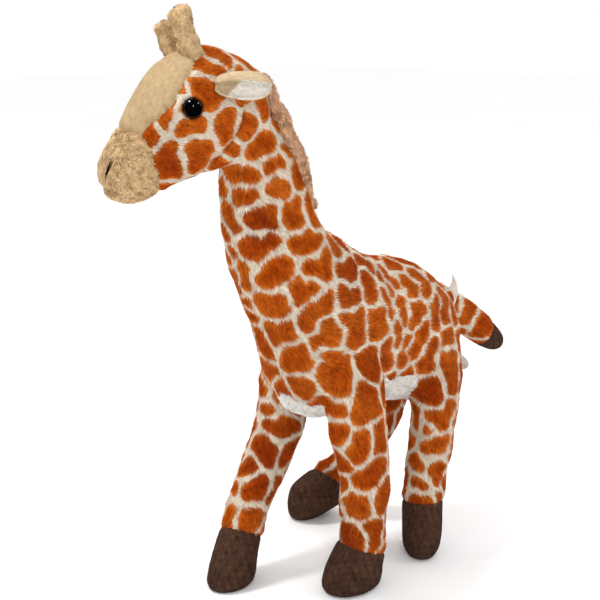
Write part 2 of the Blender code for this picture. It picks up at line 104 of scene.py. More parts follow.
def smooth_through(rows: Sequence[Numbers], steps: int = STEPS) -> np.ndarray:
    """Catmull-Rom curve through rows of numbers.

    Args:
        rows: the rows that the curve passes through.
        steps: steps to each span between two rows.

    Returns:
        One row for each point of the curve.
    """
    rows = np.asarray(rows, float)
    ends = np.vstack((2 * rows[0] - rows[1], rows, 2 * rows[-1] - rows[-2]))
    made = []
    for a, b, c, d in zip(ends, ends[1:], ends[2:], ends[3:]):
        for t in np.arange(steps) / steps:
            cubic = (3 * b - a - 3 * c + d) * t**3
            made.append(0.5 * (2 * b + (c - a) * t + (2 * a - 5 * b + 4 * c - d) * t * t + cubic))
    made.append(rows[-1])
    return np.array(made)


def unit(rows: np.ndarray) -> np.ndarray:
    """Rows scaled to length one."""
    return rows / np.maximum(np.linalg.norm(rows, axis=-1, keepdims=True), 1e-12)


def ease(values: np.ndarray, low: float, high: float) -> np.ndarray:
    """A smooth step from 0 at low to 1 at high."""
    t = np.clip((values - low) / (high - low), 0, 1)
    return t * t * (3 - 2 * t)


def bell(values: np.ndarray, width: float) -> np.ndarray:
    """A bell curve that is 1 at 0 and falls off over a width."""
    return np.exp(-((values / width) ** 2))


def ripple(points: np.ndarray, wave: float, seed: int, terms: int = 7) -> np.ndarray:
    """Smooth noise in space, made of crossing waves.

    Args:
        points: places in metres, one to a row.
        wave: mean wave length in millimetres.
        seed: picks the waves.
        terms: how many waves are added.

    Returns:
        One number for each place, with a spread of about one.
    """
    rng = np.random.default_rng(seed)
    made = np.zeros(len(points))
    for _ in range(terms):
        heading = unit(rng.normal(size=3)) * 2 * math.pi / (wave * MM * rng.uniform(0.7, 1.4))
        made += np.sin(points @ heading + rng.uniform(0, 2 * math.pi))
    return made * math.sqrt(2 / terms)


def tone(points: np.ndarray) -> np.ndarray:
    """How deep the printed patches are at places, from 0 to 1: in random clouds, and deeper low down as
    painted shade.
    """
    # Painted shade: patches deepen towards the floor.
    low = 1 - ease(points[:, 2] / MM, 30, 150)
    return np.clip(0.08 + 0.2 * ripple(points, 38, 93) + 0.22 * low, 0, 1)


# ---- finishes


class Slot(Enum):
    """The record's material slots."""

    PATCHED = "patched_plush"
    TAN = "tan_plush"
    BROWN = "brown_plush"
    MANE = "mane_plush"
    BEAD = "eye_bead"
    SATIN = "label_satin"


class Nodes:
    """Builds one material's nodes around its Principled shader."""

    def __init__(self, name: str) -> None:
        """Starts an empty material.

        Args:
            name: name of the material.
        """
        self.material = bpy.data.materials.new(name)
        self.material.use_nodes = True
        self.tree = self.material.node_tree
        self.shader = self.tree.nodes["Principled BSDF"]
        self.place = self.tree.nodes.new("ShaderNodeTexCoord").outputs["Object"]

    def join(self, source: Socket, target: Socket) -> None:
        """Links one socket to another."""
        self.tree.links.new(source, target)

    def attribute(self, name: str) -> Socket:
        """The number that a mesh attribute gives.

        Args:
            name: name of the attribute.

        Returns:
            Its socket.
        """
        node = self.tree.nodes.new("ShaderNodeAttribute")
        node.attribute_name = name
        return node.outputs["Fac"]

    def noise(self, scale: float, detail: float = 3.0, stretch: Numbers = (1, 1, 1)) -> Socket:
        """Noise in space.

        Args:
            scale: how many lumps there are to a metre.
            detail: octaves.
            stretch: scale along each axis.

        Returns:
            The noise's number.
        """
        mapping = self.tree.nodes.new("ShaderNodeMapping")
        mapping.inputs["Scale"].default_value = stretch
        node = self.tree.nodes.new("ShaderNodeTexNoise")
        node.inputs["Scale"].default_value = scale
        node.inputs["Detail"].default_value = detail
        self.join(self.place, mapping.inputs["Vector"])
        self.join(mapping.outputs["Vector"], node.inputs["Vector"])
        return node.outputs["Fac"]

    def ramp(self, source: Socket, low: Numbers, high: Numbers) -> Socket:
        """Maps a number from the span low[0]..high[0] to low[1]..high[1], smoothly and clamped.

        Args:
            source: number to map.
            low: start of the span, and the value there.
            high: end of the span, and the value there.

        Returns:
            The mapped number.
        """
        node = self.tree.nodes.new("ShaderNodeMapRange")
        node.interpolation_type = "SMOOTHSTEP"
        values = (low[0], high[0], low[1], high[1])
        for socket, value in zip(("From Min", "From Max", "To Min", "To Max"), values):
            node.inputs[socket].default_value = value
        self.join(source, node.inputs["Value"])
        return node.outputs["Result"]

    def mix(
        self, share: Socket, first: Numbers | Socket, second: Numbers | Socket, blend: str = "MIX"
    ) -> Socket:
        """Mixes two colours.

        Args:
            share: how much of the second colour shows.
            first: a colour or a socket that gives one.
            second: a colour or a socket that gives one.
            blend: the way of mixing.

        Returns:
            The mixed colour.
        """
        node = self.tree.nodes.new("ShaderNodeMix")
        node.data_type = "RGBA"
        node.blend_type = blend
        self.join(share, node.inputs["Factor"])
        for value, socket in ((first, node.inputs[6]), (second, node.inputs[7])):
            if isinstance(value, Socket):
                self.join(value, socket)
            else:
                socket.default_value = (*value, 1.0)
        return node.outputs[2]

    def bump(self, height: Socket, distance: float, strength: float) -> None:
        """Raises the surface by a height map, in metres.

        Args:
            height: the height map.
            distance: what its full range raises the surface by.
            strength: share of that which shows.
        """
        node = self.tree.nodes.new("ShaderNodeBump")
        node.inputs["Strength"].default_value = strength
        node.inputs["Distance"].default_value = distance
        self.join(height, node.inputs["Height"])
        self.join(node.outputs["Normal"], self.shader.inputs["Normal"])

    def paint(self, colour: Socket, rough: Socket, **levels: float) -> None:
        """Gives the shader its colour and roughness, and other levels by name.

        Args:
            colour: the base colour.
            rough: the roughness.
            levels: specular, sheen and sheen_rough, where they aren't as the shader comes.
        """
        self.join(colour, self.shader.inputs["Base Color"])
        self.join(rough, self.shader.inputs["Roughness"])
        names = {"specular": "Specular IOR Level", "sheen": "Sheen Weight", "sheen_rough": "Sheen Roughness"}
        for name, level in levels.items():
            self.shader.inputs[names[name]].default_value = level


# What a plush colour is multiplied by, in a dark tuft, in a light one, and as painted shade deep in a seam.
DARK_TUFT, LIGHT_TUFT, SEAM_SHADE = (0.5, 0.4, 0.35), (1.6, 1.6, 1.5), (0.12, 0.09, 0.08)


@dataclass(frozen=True)
class PlushFinish:
    """Short pile of one colour, or of patches on a pale ground where it has a patch colour."""

    name: str
    ground: Colour
    shade: Colour  # of hollows and the foot of the pile
    patch: Colour | None = None
    patch_rim: Colour | None = None
    # Painted shade: the foot of the pile is darkened by this colour.
    hollow: Colour = (0.32, 0.27, 0.25)  # how the foot of the pile darkens
    # Partly painted shade: low down, patches deepen to this colour; elsewhere it is random deep print.
    deep: Colour | None = None  # of the darkest patches
    net: float = 0.9  # half width of the pale net, mm
    feather: float = 0.5  # width over which a patch's edge fades, mm
    sheen: float = 0.01
    mottle: float = 1.0  # how much single tufts differ

    def build(self) -> bpy.types.Material:
        """Makes the material.

        Returns:
            The material.
        """
        nodes = Nodes(self.name)
        cloudy = nodes.mix(nodes.ramp(nodes.noise(170), (0.3, 0.0), (0.7, 1.0)), self.ground, self.shade)
        colour = nodes.mix(nodes.ramp(nodes.noise(60), (0.3, 0.25), (0.7, 0.5)), self.ground, cloudy)
        if self.patch:
            inside = nodes.attribute("net")
            low, high = self.net - self.feather / 2, self.net + self.feather / 2
            rich = nodes.mix(nodes.ramp(inside, (high, 0.0), (high + 2.6, 1.0)), self.patch_rim, self.patch)
            rich = nodes.mix(nodes.ramp(nodes.noise(42), (0.4, 0.0), (0.7, 0.6)), rich, self.patch_rim)
            # Patches deepen in random clouds, and low down as painted shade.
            rich = nodes.mix(nodes.ramp(nodes.attribute("tone"), (0.0, 0.0), (1.0, 1.0)), rich, self.deep)
            rich = self.vary(nodes, rich, 0.75, 0.6)
            pale = self.vary(nodes, colour, 0.4, 0.4)
            colour = nodes.mix(nodes.ramp(inside, (low, 0.0), (high, 1.0)), pale, rich)
        else:
            colour = self.vary(nodes, colour, 0.7, 0.55)
        # Painted shade darkens the foot of each tuft, and the skin under the pile.
        foot = nodes.ramp(nodes.attribute("tip"), (0.0, 0.5), (0.9, 0.0))
        colour = nodes.mix(foot, colour, self.hollow, "MULTIPLY")
        # Painted shade deep in seams and folds.
        seam = nodes.ramp(nodes.attribute("seam"), (0.0, 0.0), (1.0, 0.85))
        colour = nodes.mix(seam, colour, SEAM_SHADE, "MULTIPLY")
        rough = nodes.ramp(nodes.noise(900), (0.3, 0.72), (0.7, 0.95))
        nodes.bump(nodes.noise(1400, 2.0, (1.0, 0.45, 1.0)), 0.0004, 0.5)
        nodes.paint(colour, rough, specular=0.05, sheen=self.sheen, sheen_rough=0.45)
        return nodes.material

    def vary(self, nodes: Nodes, colour: Socket, dark: float, light: float) -> Socket:
        """Makes some tufts darker and others lighter, by their tint.

        Args:
            nodes: the material's nodes.
            colour: the colour so far.
            dark: how much the darkest tufts darken.
            light: how much the lightest tufts lighten.

        Returns:
            The new colour.
        """
        tint = nodes.attribute("tint")
        darker = nodes.ramp(tint, (0.0, dark * self.mottle), (0.5, 0.0))
        colour = nodes.mix(darker, colour, DARK_TUFT, "MULTIPLY")
        lighter = nodes.ramp(tint, (0.5, 0.0), (1.0, light * self.mottle))
        return nodes.mix(lighter, colour, LIGHT_TUFT, "MULTIPLY")


@dataclass(frozen=True)
class BeadFinish:
    """Glossy black plastic."""

    name: str = "glossy bead"

    def build(self) -> bpy.types.Material:
        """Makes the material.

        Returns:
            The material.
        """
        nodes = Nodes(self.name)
        cloudy = nodes.ramp(nodes.noise(240), (0.3, 0.0), (0.7, 1.0))
        rough = nodes.ramp(nodes.noise(500), (0.3, 0.02), (0.7, 0.05))
        nodes.bump(nodes.noise(350), 0.00002, 0.15)
        nodes.paint(nodes.mix(cloudy, linear(2, 2, 3), linear(5, 5, 6)), rough, specular=0.4)
        return nodes.material


@dataclass(frozen=True)
class SatinFinish:
    """Woven satin ribbon with a fine cross weave."""

    name: str = "blank satin"
    thread: Colour = linear(232, 226, 219)
    low: Colour = linear(192, 182, 174)

    def build(self) -> bpy.types.Material:
        """Makes the material.

        Returns:
            The material.
        """
        nodes = Nodes(self.name)
        threads = nodes.noise(2600, 1.0, (1.0, 1.0, 0.2))
        soft = nodes.ramp(nodes.noise(190), (0.3, 0.0), (0.7, 0.8))
        colour = nodes.mix(soft, self.thread, self.low)
        # Painted shade: the low places of the weave darken towards the low colour.
        colour = nodes.mix(nodes.ramp(threads, (0.3, 0.35), (0.6, 0.0)), colour, self.low)
        rough = nodes.ramp(threads, (0.3, 0.5), (0.7, 0.34))
        nodes.bump(threads, 0.00012, 0.5)
        nodes.paint(colour, rough, sheen=0.25, sheen_rough=0.3)
        return nodes.material


@dataclass(frozen=True)
class FloorFinish:
    """Plain pale matt floor."""

    name: str = "pale floor"

    def build(self) -> bpy.types.Material:
        """Makes the material.

        Returns:
            The material.
        """
        nodes = Nodes(self.name)
        cloudy = nodes.ramp(nodes.noise(3), (0.3, 0.0), (0.7, 1.0))
        rough = nodes.ramp(nodes.noise(30), (0.3, 0.85), (0.7, 0.95))
        nodes.paint(nodes.mix(cloudy, [0.985] * 3, [0.97] * 3), rough, specular=0.0)
        return nodes.material


FINISHES = {
    "patched": PlushFinish(
        "patched plush", linear(233, 221, 202), linear(204, 184, 155),
        patch=linear(176, 72, 6), patch_rim=linear(206, 108, 30), deep=linear(136, 41, 4),
    ),
    "tan": PlushFinish("tan plush", linear(204, 178, 138), linear(176, 145, 101), mottle=0.5),
    "curly": PlushFinish(
        "curly tan plush", linear(215, 185, 142), linear(170, 135, 91), hollow=(0.55, 0.45, 0.34), mottle=0.95
    ),
    "horn": PlushFinish(
        "horn plush", linear(218, 187, 144), linear(176, 139, 98), hollow=(0.58, 0.5, 0.42), mottle=0.85
    ),
    "brown": PlushFinish("brown velvet", linear(82, 58, 46), linear(42, 27, 21), mottle=1.3),
    "white": PlushFinish(
        "white plush", linear(246, 243, 237), linear(226, 221, 212), hollow=(0.66, 0.63, 0.6), mottle=0.35
    ),
    "ear": PlushFinish("ear plush", linear(226, 203, 166), linear(202, 173, 131), mottle=0.6),
    "lining": PlushFinish(
        "ear lining", linear(248, 244, 235), linear(230, 223, 210), hollow=(0.7, 0.66, 0.6), mottle=0.3
    ),
    "mane": PlushFinish(
        "mane plush", linear(212, 168, 134), linear(164, 119, 90), hollow=(0.5, 0.4, 0.34), mottle=1.1
    ),
    "bead": BeadFinish(),
    "satin": SatinFinish(),
    "floor": FloorFinish(),
}


@cache
def look(finish: str) -> bpy.types.Material:
    """The material of a finish, which is made when it's first asked for."""
    return FINISHES[finish].build()


# ---- stuffed forms


@dataclass(frozen=True)
class Hoop:
    """One hoop of a stuffed form: its middle and two half axes, at angles 0 and 90 degrees."""

    middle: np.ndarray
    first: np.ndarray
    second: np.ndarray

    @classmethod
    def of(cls, middle: Vector, first: Vector, second: Vector) -> Hoop:
        """A hoop from vectors."""
        return cls(np.array(middle), np.array(first), np.array(second))

    def towards(self, other: Hoop, share: float | np.ndarray) -> list[np.ndarray]:
        """Middle and two half axes on the way to another hoop."""
        ends = ((self.middle, other.middle), (self.first, other.first), (self.second, other.second))
        return [start + (end - start) * share for start, end in ends]

    def matrix(self) -> Matrix:
        """Carries the unit circle to the hoop.

        Returns:
            The matrix.
        """
        normal = np.cross(self.first, self.second)
        columns = (self.first, self.second, normal, self.middle)
        return Matrix([[*(column[i] for column in columns)] for i in range(3)] + [[0, 0, 0, 1]])


def close_tube(form: bmesh.types.BMesh, rings: Sequence[list[bmesh.types.BMVert]]) -> None:
    """Joins rings of points into one tube with closed ends.

    Args:
        form: the mesh under construction.
        rings: the points of each ring, already joined by edges.
    """
    loops = [list(dict.fromkeys(edge for vert in ring for edge in vert.link_edges)) for ring in rings]
    for lower, upper in zip(loops, loops[1:]):
        bmesh.ops.bridge_loops(form, edges=lower + upper)
    for loop in (loops[0], loops[-1]):
        bmesh.ops.edgeloop_fill(form, edges=loop)


@dataclass
class Form:
    """A closed form lofted through hoops, which can tell where on it a point lies."""

    name: str
    hoops: list[Hoop]

    def add_to(self, form: bmesh.types.BMesh) -> None:
        """Adds the lofted form to a mesh under construction.

        Args:
            form: the mesh.
        """
        rings = []
        for hoop in self.hoops:
            made = bmesh.ops.create_circle(
                form, cap_ends=False, segments=HOOP_SIDES, radius=1.0, matrix=hoop.matrix()
            )
            rings.append(made["verts"])
        close_tube(form, rings)

    def point(self, along: float, angle: float) -> np.ndarray:
        """A point of the form's surface, a distance along it (mm) and an angle round it (degrees).

        Args:
            along: the distance.
            angle: the angle.

        Returns:
            The point.
        """
        lengths = self.lengths()
        i = int(np.clip(np.searchsorted(lengths, along) - 1, 0, len(lengths) - 2))
        share = np.clip((along - lengths[i]) / max(lengths[i + 1] - lengths[i], 1e-9), 0, 1)
        middle, first, second = self.hoops[i].towards(self.hoops[i + 1], share)
        turn = math.radians(angle)
        return middle + first * math.cos(turn) + second * math.sin(turn)

    def lengths(self) -> np.ndarray:
        """Distance of each hoop's middle along the form, in millimetres.

        Returns:
            One distance for each hoop.
        """
        middles = np.array([hoop.middle for hoop in self.hoops])
        steps = np.linalg.norm(np.diff(middles, axis=0), axis=1) / MM
        return np.concatenate(([0.0], np.cumsum(steps)))

    def locate(self, points: np.ndarray) -> np.ndarray:
        """Finds places on the form.

        Args:
            points: places in metres, one to a row.

        Returns:
            For each place its distance along the form (mm), its angle round it (radians) and how far
            it stands off the form's surface (mm).
        """
        lengths = self.lengths()
        normals = unit(np.array([np.cross(hoop.first, hoop.second) for hoop in self.hoops]))
        middles = np.array([hoop.middle for hoop in self.hoops])
        heading = np.sign(np.sum(np.gradient(middles, axis=0) * normals, axis=1, keepdims=True))
        normals *= np.where(heading == 0, 1, heading)
        sides = points @ normals.T - np.sum(middles * normals, axis=1)
        found = np.full((len(points), 3), np.inf)
        last = len(self.hoops) - 2
        for i, (one, two) in enumerate(zip(self.hoops, self.hoops[1:])):
            near = (sides[:, i] >= 0) | (i == 0)
            near &= (sides[:, i + 1] <= 0) | (i == last)
            at = np.flatnonzero(near)
            if not len(at):
                continue
            before, after = sides[at, i], -sides[at, i + 1]
            share = np.clip(before / np.where(before + after == 0, 1, before + after), 0, 1)[:, None]
            beyond = np.maximum(np.maximum(-before, -after), 0) / MM
            middle, first, second = one.towards(two, share)
            away = points[at] - middle
            sizes = np.linalg.norm(first, axis=1), np.linalg.norm(second, axis=1)
            x = np.sum(away * unit(first), axis=1) / np.maximum(sizes[0], 1e-9)
            y = np.sum(away * unit(second), axis=1) / np.maximum(sizes[1], 1e-9)
            off = np.abs(np.hypot(x, y) - 1) * (sizes[0] + sizes[1]) / 2 / MM
            off = np.where(beyond > 0, off * (np.hypot(x, y) > 1) + beyond, off)
            better = off < found[at, 2]
            row = at[better]
            found[row, 0] = lengths[i] + (lengths[i + 1] - lengths[i]) * share[better, 0]
            found[row, 1] = np.arctan2(y[better], x[better])
            found[row, 2] = off[better]
        return found


@dataclass(frozen=True)
class TrunkPattern:
    """Trunk and neck, from rump to skull: back point, belly point, half width, shift to the right."""

    hoops: tuple = (
        ((-103.5, 126), (-102.5, 112), 5.5, 0),
        ((-99.5, 139), (-97.5, 98), 16, 0),
        ((-91, 148.6), (-87, 88), 22.6, 0),
        ((-76, 160.4), (-73, 83), 27, 0),
        ((-56, 168.2), (-54, 86.5), 28, 0),
        ((-36, 171.8), (-34, 89), 27.5, 0),
        ((-18, 179.4), (-14, 90.5), 28.5, 0),
        ((-7, 187.6), (8, 90.7), 29.5, 0),
        ((2, 191.5), (21, 100), 29.5, 0.3),
        ((8, 198), (29.3, 118), 27.6, 0.8),
        ((11.5, 206), (36.2, 137.9), 25.4, 1.5),
        ((14, 214), (45.5, 156.6), 23.4, 2.0),
        ((16.5, 223), (53.6, 174), 21.5, 2.0),
        ((20, 232), (59, 192), 19.5, 1.4),
        ((24.5, 241), (61, 209), 17.7, 0.6),
        ((29.5, 249.5), (61, 222), 16, 0),
        ((35.5, 257), (60, 233), 14, 0),
        ((42, 262), (57, 243), 9, 0),
    )
    shoulder_seam: tuple = ((-1, 191), (33, 140))
    rump_from: float = -45

    def form(self) -> Form:
        """Lofts the trunk: angle 0 is its back line, 90 degrees its left and 180 its belly line."""
        return Form("trunk", level_hoops(self.hoops, place))


def level_hoops(hoops: Sequence, put: Callable[..., Vector]) -> list[Hoop]:
    """Hoops that stand level across the toy.

    Args:
        hoops: rows of back point and belly point as (forward, up), half width and shift to the right.
        put: turns (left, forward, up) into a place.

    Returns:
        Smoothly spaced hoops whose first half axis points to the back line and whose second to the left.
    """
    made = []
    sideways = np.array(put(1, 0, 0) - put(0, 0, 0))
    for row in smooth_through([(*back, *belly, *sizes) for back, belly, *sizes in hoops]):
        top, bottom = np.array(put(-row[5], row[0], row[1])), np.array(put(-row[5], row[2], row[3]))
        made.append(Hoop((top + bottom) / 2, (top - bottom) / 2, sideways * row[4]))
    return made


@dataclass(frozen=True)
class HeadPattern:
    """The head, in a frame of its own with its origin level with and between the eyes."""

    at: tuple = (-12.4, 78.6, 256)
    turn: float = math.radians(-25)  # towards the toy's right
    hoops: tuple = (
        ((-43, 4), (-42, -5), 6, 0),
        ((-39, 12.4), (-36, -18), 13.5, 0),
        ((-30, 21.1), (-25, -27.5), 19, 0),
        ((-16, 26.2), (-14, -31.5), 22, 0),
        ((-3, 25.8), (-6, -33.5), 22.5, 0),
        ((8.3, 20.9), (0, -35), 22, 0),
        ((15.8, 13.9), (4, -36.5), 20.5, 0),
        ((21.6, 5.3), (8, -38), 18.5, 0),
        ((25.7, -3), (12.5, -40.5), 17.2, 0),
        ((31, -10.5), (18, -43.8), 16.4, 0),
        ((36.5, -18), (25, -44.9), 15.3, 0),
        ((38.6, -26), (32, -43.7), 12.9, 0),
        ((38.2, -32.4), (36.2, -40.6), 6.8, 0),
    )
    # Edge of the tan panels, as (up, forward): down the face, then round the muzzle.
    tan_edge: tuple = (
        (-44, 10.5), (-36.1, 12.6), (-30, 14.1), (-26, 16.3), (-20.1, 17.4), (-15.7, 19.8), (-11.4, 22.6),
        (-7.9, 19.7), (-4.8, 15.2), (-0.4, 10.6), (3.2, 7.4), (7.8, 4.8), (16.2, -1.4), (20.4, -4.1),
        (30, -4.6),
    )
    bridge_crease: tuple = ((-11.4, 22.6), (-9.6, 26.0), (-8.2, 30.5), (-8.0, 36))  # the muzzle's upper seam
    nostril: tuple = ((9.9, 34.7, -22.9), (8.7, 35.6, -26.4), (7.8, 36.4, -29.4), (7.0, 36.4, -32.0))
    eye_at: tuple = (20.6, -0.6, -0.1)
    eye_radius: float = 4.7
    eye_depth: float = 4.3
    eye_turn: float = math.radians(14)

    def matrix(self) -> Matrix:
        """Carries the head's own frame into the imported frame."""
        return Matrix.Translation(place(*self.at)) @ Matrix.Rotation(self.turn, 4, "Z")

    def put(self, left: float, forward: float, up: float) -> Vector:
        """A point of the head's own frame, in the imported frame."""
        return self.matrix() @ way(left, forward, up)

    def read(self, points: np.ndarray) -> np.ndarray:
        """Places as (left, forward, up) of the head's own frame, in millimetres.

        Args:
            points: the places, in metres.

        Returns:
            The places in that frame.
        """
        back = np.array(self.matrix().inverted())
        own = points @ back[:3, :3].T + back[:3, 3]
        return own * np.array((1, -1, 1)) / MM

    def form(self) -> Form:
        """Lofts the head."""
        return Form("head", level_hoops(self.hoops, self.put))

    def in_tan(self, points: np.ndarray) -> np.ndarray:
        """How far places lie inside the tan panels, in millimetres.

        Args:
            points: the places, in metres.

        Returns:
            One distance for each place.
        """
        own = self.read(points)
        ups, forwards = np.array(self.tan_edge).T
        edge = np.interp(own[:, 2], ups, forwards)
        slope = (np.interp(own[:, 2] + 1, ups, forwards) - np.interp(own[:, 2] - 1, ups, forwards)) / 2
        return (own[:, 1] - edge) / np.hypot(1, slope)

    def in_muzzle(self, points: np.ndarray) -> np.ndarray:
        """How far places lie below the muzzle's upper seam, in millimetres.

        Args:
            points: the places, in metres.

        Returns:
            One distance for each place.
        """
        own = self.read(points)
        ups, forwards = np.array(self.bridge_crease).T
        return np.interp(own[:, 1], forwards, ups) - own[:, 2]

    def slit(self, side: int, steps: int) -> list[Vector]:
        """Points down the middle of a nostril."""
        rows = smooth_through([(left * side, *rest) for left, *rest in self.nostril], steps)
        return [self.put(*row) for row in rows]

    def bead(self, side: int) -> Matrix:
        """Matrix of a unit ball that is an eye: a bead, flattened across the face.

        Args:
            side: 1 for the toy's left and -1 for its right.

        Returns:
            The matrix.
        """
        left, forward, up = self.eye_at
        at = self.matrix() @ Matrix.Translation(way(left * side, forward, up))
        sizes = (self.eye_depth * MM, self.eye_radius * MM, self.eye_radius * MM, 1)
        return at @ Matrix.Rotation(-side * self.eye_turn, 4, "Z") @ Matrix.Diagonal(sizes)


@dataclass(frozen=True)
class LegPattern:
    """A leg: stations down its middle with half widths across and along, then its foot."""

    name: str
    stations: tuple
    sole: tuple[float, float]
    toe_turn: float  # degrees, to the left
    size: float
    tilt: float  # of the foot's top seam, degrees
    seam_angles: tuple[float, float]  # degrees round the leg, 0 is left and 90 is forward
    # A foot from its top seam down to its sole: share of the way, half widths across and along.
    foot_hoops: tuple = (
        (-0.25, 10.6, 10.9),
        (0.0, 11.3, 11.8),
        (0.3, 11.7, 13.4),
        (0.58, 12.0, 15.0),
        (0.82, 12.1, 15.6),
        (0.95, 11.3, 14.7),
        (1.03, 9.3, 12.6),
    )

    def toe(self) -> Vector:
        """The level direction in which the toe points."""
        turn = math.radians(self.toe_turn)
        return way(math.sin(turn), math.cos(turn), 0).normalized()

    def foot_seam(self) -> tuple[Vector, Vector]:
        """Middle of the foot's top seam, and the seam's normal, which points into the foot.

        Returns:
            The middle and the normal.
        """
        tilt = math.radians(self.tilt)
        down = self.toe() * math.sin(tilt) - Vector((0, 0, 1)) * math.cos(tilt)
        return place(*self.stations[-1][0]), down

    def forms(self) -> list[Form]:
        """Lofts the limb and the foot."""
        return [Form(f"leg_{self.name}", path_hoops(self.stations)), Form(f"hoof_{self.name}", self.foot())]

    def foot(self) -> list[Hoop]:
        """Hoops of the foot, from square to the ankle at its top to level at its sole.

        Returns:
            The hoops, from the top down.
        """
        toe = self.toe()
        top, normal = self.foot_seam()
        sole = place(*self.sole, 0)
        hoops = []
        for share, half_across, half_along in smooth_through(self.foot_hoops):
            level = min(max(share, 0.0), 1.0)
            down = normal.lerp(Vector((0, 0, -1)), level).normalized()
            along = square_to(down, toe)
            side = down.cross(along)
            middle = top.lerp(sole, share) + toe * 1.5 * MM * math.sin(math.pi * level)
            size = self.size * MM
            hoops.append(Hoop.of(middle, side * half_across * size, along * half_along * size))
        return hoops


def path_hoops(stations: Sequence) -> list[Hoop]:
    """Hoops square to a path.

    Args:
        stations: rows of middle, half width across and half width along.

    Returns:
        Hoops whose first half axis lies across the toy, to its left.
    """
    rows = smooth_through([(*middle, across, along) for middle, across, along in stations])
    middles = [place(*row[:3]) for row in rows]
    hoops = []
    for i, row in enumerate(rows):
        heading = heading_at(middles, i)
        across = square_to(heading, Vector((1, 0, 0)))
        hoops.append(Hoop.of(middles[i], across * row[3] * MM, heading.cross(across) * row[4] * MM))
    return hoops


@dataclass(frozen=True)
class TailPattern:
    """The tail: stations down its middle, and where its dark tip begins."""

    stations: tuple = (
        ((0, -94, 138.5), 8.5, 9),
        ((1, -104.5, 131.6), 9.8, 10.1),
        ((3, -117, 122.8), 10.1, 10.4),
        ((6, -129.2, 114), 9.4, 9.6),
        ((8.2, -137.7, 107.6), 8.1, 8.3),
        ((10, -143.6, 103.1), 6.2, 6.4),
        ((10.8, -146.8, 100.9), 2.8, 2.8),
    )
    tip_from: float = 0.58  # share of the path

    def form(self) -> Form:
        """Lofts the tail."""
        return Form("tail", path_hoops(self.stations))

    def tip_seam(self) -> tuple[Vector, Vector]:
        """A point of the tip's seam and its normal, which points to the tip.

        Returns:
            The point and the normal.
        """
        middles = [place(*row[:3]) for row in smooth_through([(*m, a, b) for m, a, b in self.stations], 8)]
        at = round(self.tip_from * (len(middles) - 1))
        return middles[at], heading_at(middles, at)


LEGS = (
    LegPattern(
        "front_left",
        (
            ((17, -4, 132), 11, 19),
            ((22, -4, 108), 13.5, 18.5),
            ((24.7, -4.6, 85), 13.6, 18),
            ((25.9, -6.3, 72), 13.2, 15.1),
            ((26.7, -8.1, 58.5), 13, 14),
            ((26.9, -6.7, 41), 12.8, 13.8),
            ((26.3, -6.7, 21.5), 12.6, 13.1),
        ),
        (25.2, 0.6), -6, 1.15, 20, (97, -83),
    ),
    LegPattern(
        "front_right",
        (
            ((-17, -4, 132), 11, 19),
            ((-22.3, 0.3, 108), 13.4, 17),
            ((-24.2, 3, 86), 13.3, 14.4),
            ((-24, 9.8, 72), 13.1, 13.8),
            ((-23.8, 17.4, 59.5), 12.4, 12.7),
            ((-23.4, 27.4, 44), 11.6, 12),
            ((-22.6, 35.2, 27.5), 11.6, 11.9),
        ),
        (-24, 42.4), 18, 1.0, 30, (70, -110),
        (
            (-0.25, 10.6, 10.9), (0.0, 11.3, 11.8), (0.3, 11.8, 13.4), (0.58, 12.2, 15.1),
            (0.82, 12.5, 16.2), (0.95, 12, 15.7), (1.03, 10.2, 13.6),
        ),
    ),
    LegPattern(
        "hind_left",
        (
            ((13.4, -73.4, 124), 11.6, 21),
            ((18, -74, 102), 14, 20),
            ((20.2, -72.2, 82), 13, 15.3),
            ((22.2, -67.2, 62), 12.2, 12.9),
            ((23.5, -62.6, 46), 11.8, 12.2),
            ((24.5, -59.1, 32), 11.9, 12.2),
        ),
        (26.2, -56.8), 42, 0.95, 8, (44, -136),
        (
            (-0.25, 11.4, 11.7), (0.0, 12.1, 12.7), (0.3, 12.3, 13.9), (0.58, 12.2, 14.9),
            (0.82, 11.4, 14.3), (0.95, 9.6, 12.2), (1.03, 7.2, 9.6),
        ),
    ),
    LegPattern(
        "hind_right",
        (
            ((-14, -74, 124), 12, 22),
            ((-18, -74, 102), 14, 20),
            ((-18.3, -74, 80), 13.8, 15.9),
            ((-25.2, -71.3, 55), 12, 12.5),
            ((-35, -64, 36.5), 10.6, 10.9),
            ((-45, -55.8, 24.5), 10.5, 10.8),
        ),
        (-55.4, -46.2), -8, 1.03, 42, (60, -120),
        (
            (-0.25, 10.5, 10.7), (0.0, 11.1, 11.8), (0.28, 12.1, 16.8), (0.45, 12.4, 18.4),
            (0.75, 11.2, 14.8), (0.95, 9.2, 10.8), (1.03, 7, 8),
        ),
    ),
)


# ---- the skin


def mesh_object(name: str, fill: Callable[[bmesh.types.BMesh], None]) -> bpy.types.Object:
    """Makes a mesh object.

    Args:
        name: name of the object.
        fill: fills an empty bmesh.

    Returns:
        The linked object, with its faces turned outwards.
    """
    mesh = bpy.data.meshes.new(name)
    form = bmesh.new()
    fill(form)
    bmesh.ops.recalc_face_normals(form, faces=form.faces)
    form.to_mesh(mesh)
    form.free()
    obj = bpy.data.objects.new(name, mesh)
    bpy.context.scene.collection.objects.link(obj)
    return obj


def bake(obj: bpy.types.Object) -> None:
    """Applies an object's modifiers to its mesh.

    Args:
        obj: the object.
    """
    bpy.context.view_layer.update()
    graph = bpy.context.evaluated_depsgraph_get()
    mesh = bpy.data.meshes.new_from_object(obj.evaluated_get(graph))
    obj.modifiers.clear()
    obj.data = mesh
    mesh.name = obj.name


def refine(obj: bpy.types.Object, voxel: float, passes: int) -> None:
    """Fuses a mesh's overlapping forms on a fine grid and rounds the joins.

    Args:
        obj: the mesh object.
        voxel: size of the grid, in millimetres.
        passes: smoothing passes.
    """
    remesh = obj.modifiers.new("fuse", "REMESH")
    remesh.mode = "VOXEL"
    remesh.voxel_size = voxel * MM
    smooth = obj.modifiers.new("round", "SMOOTH")
    smooth.factor = 0.5
    smooth.iterations = passes
    bake(obj)


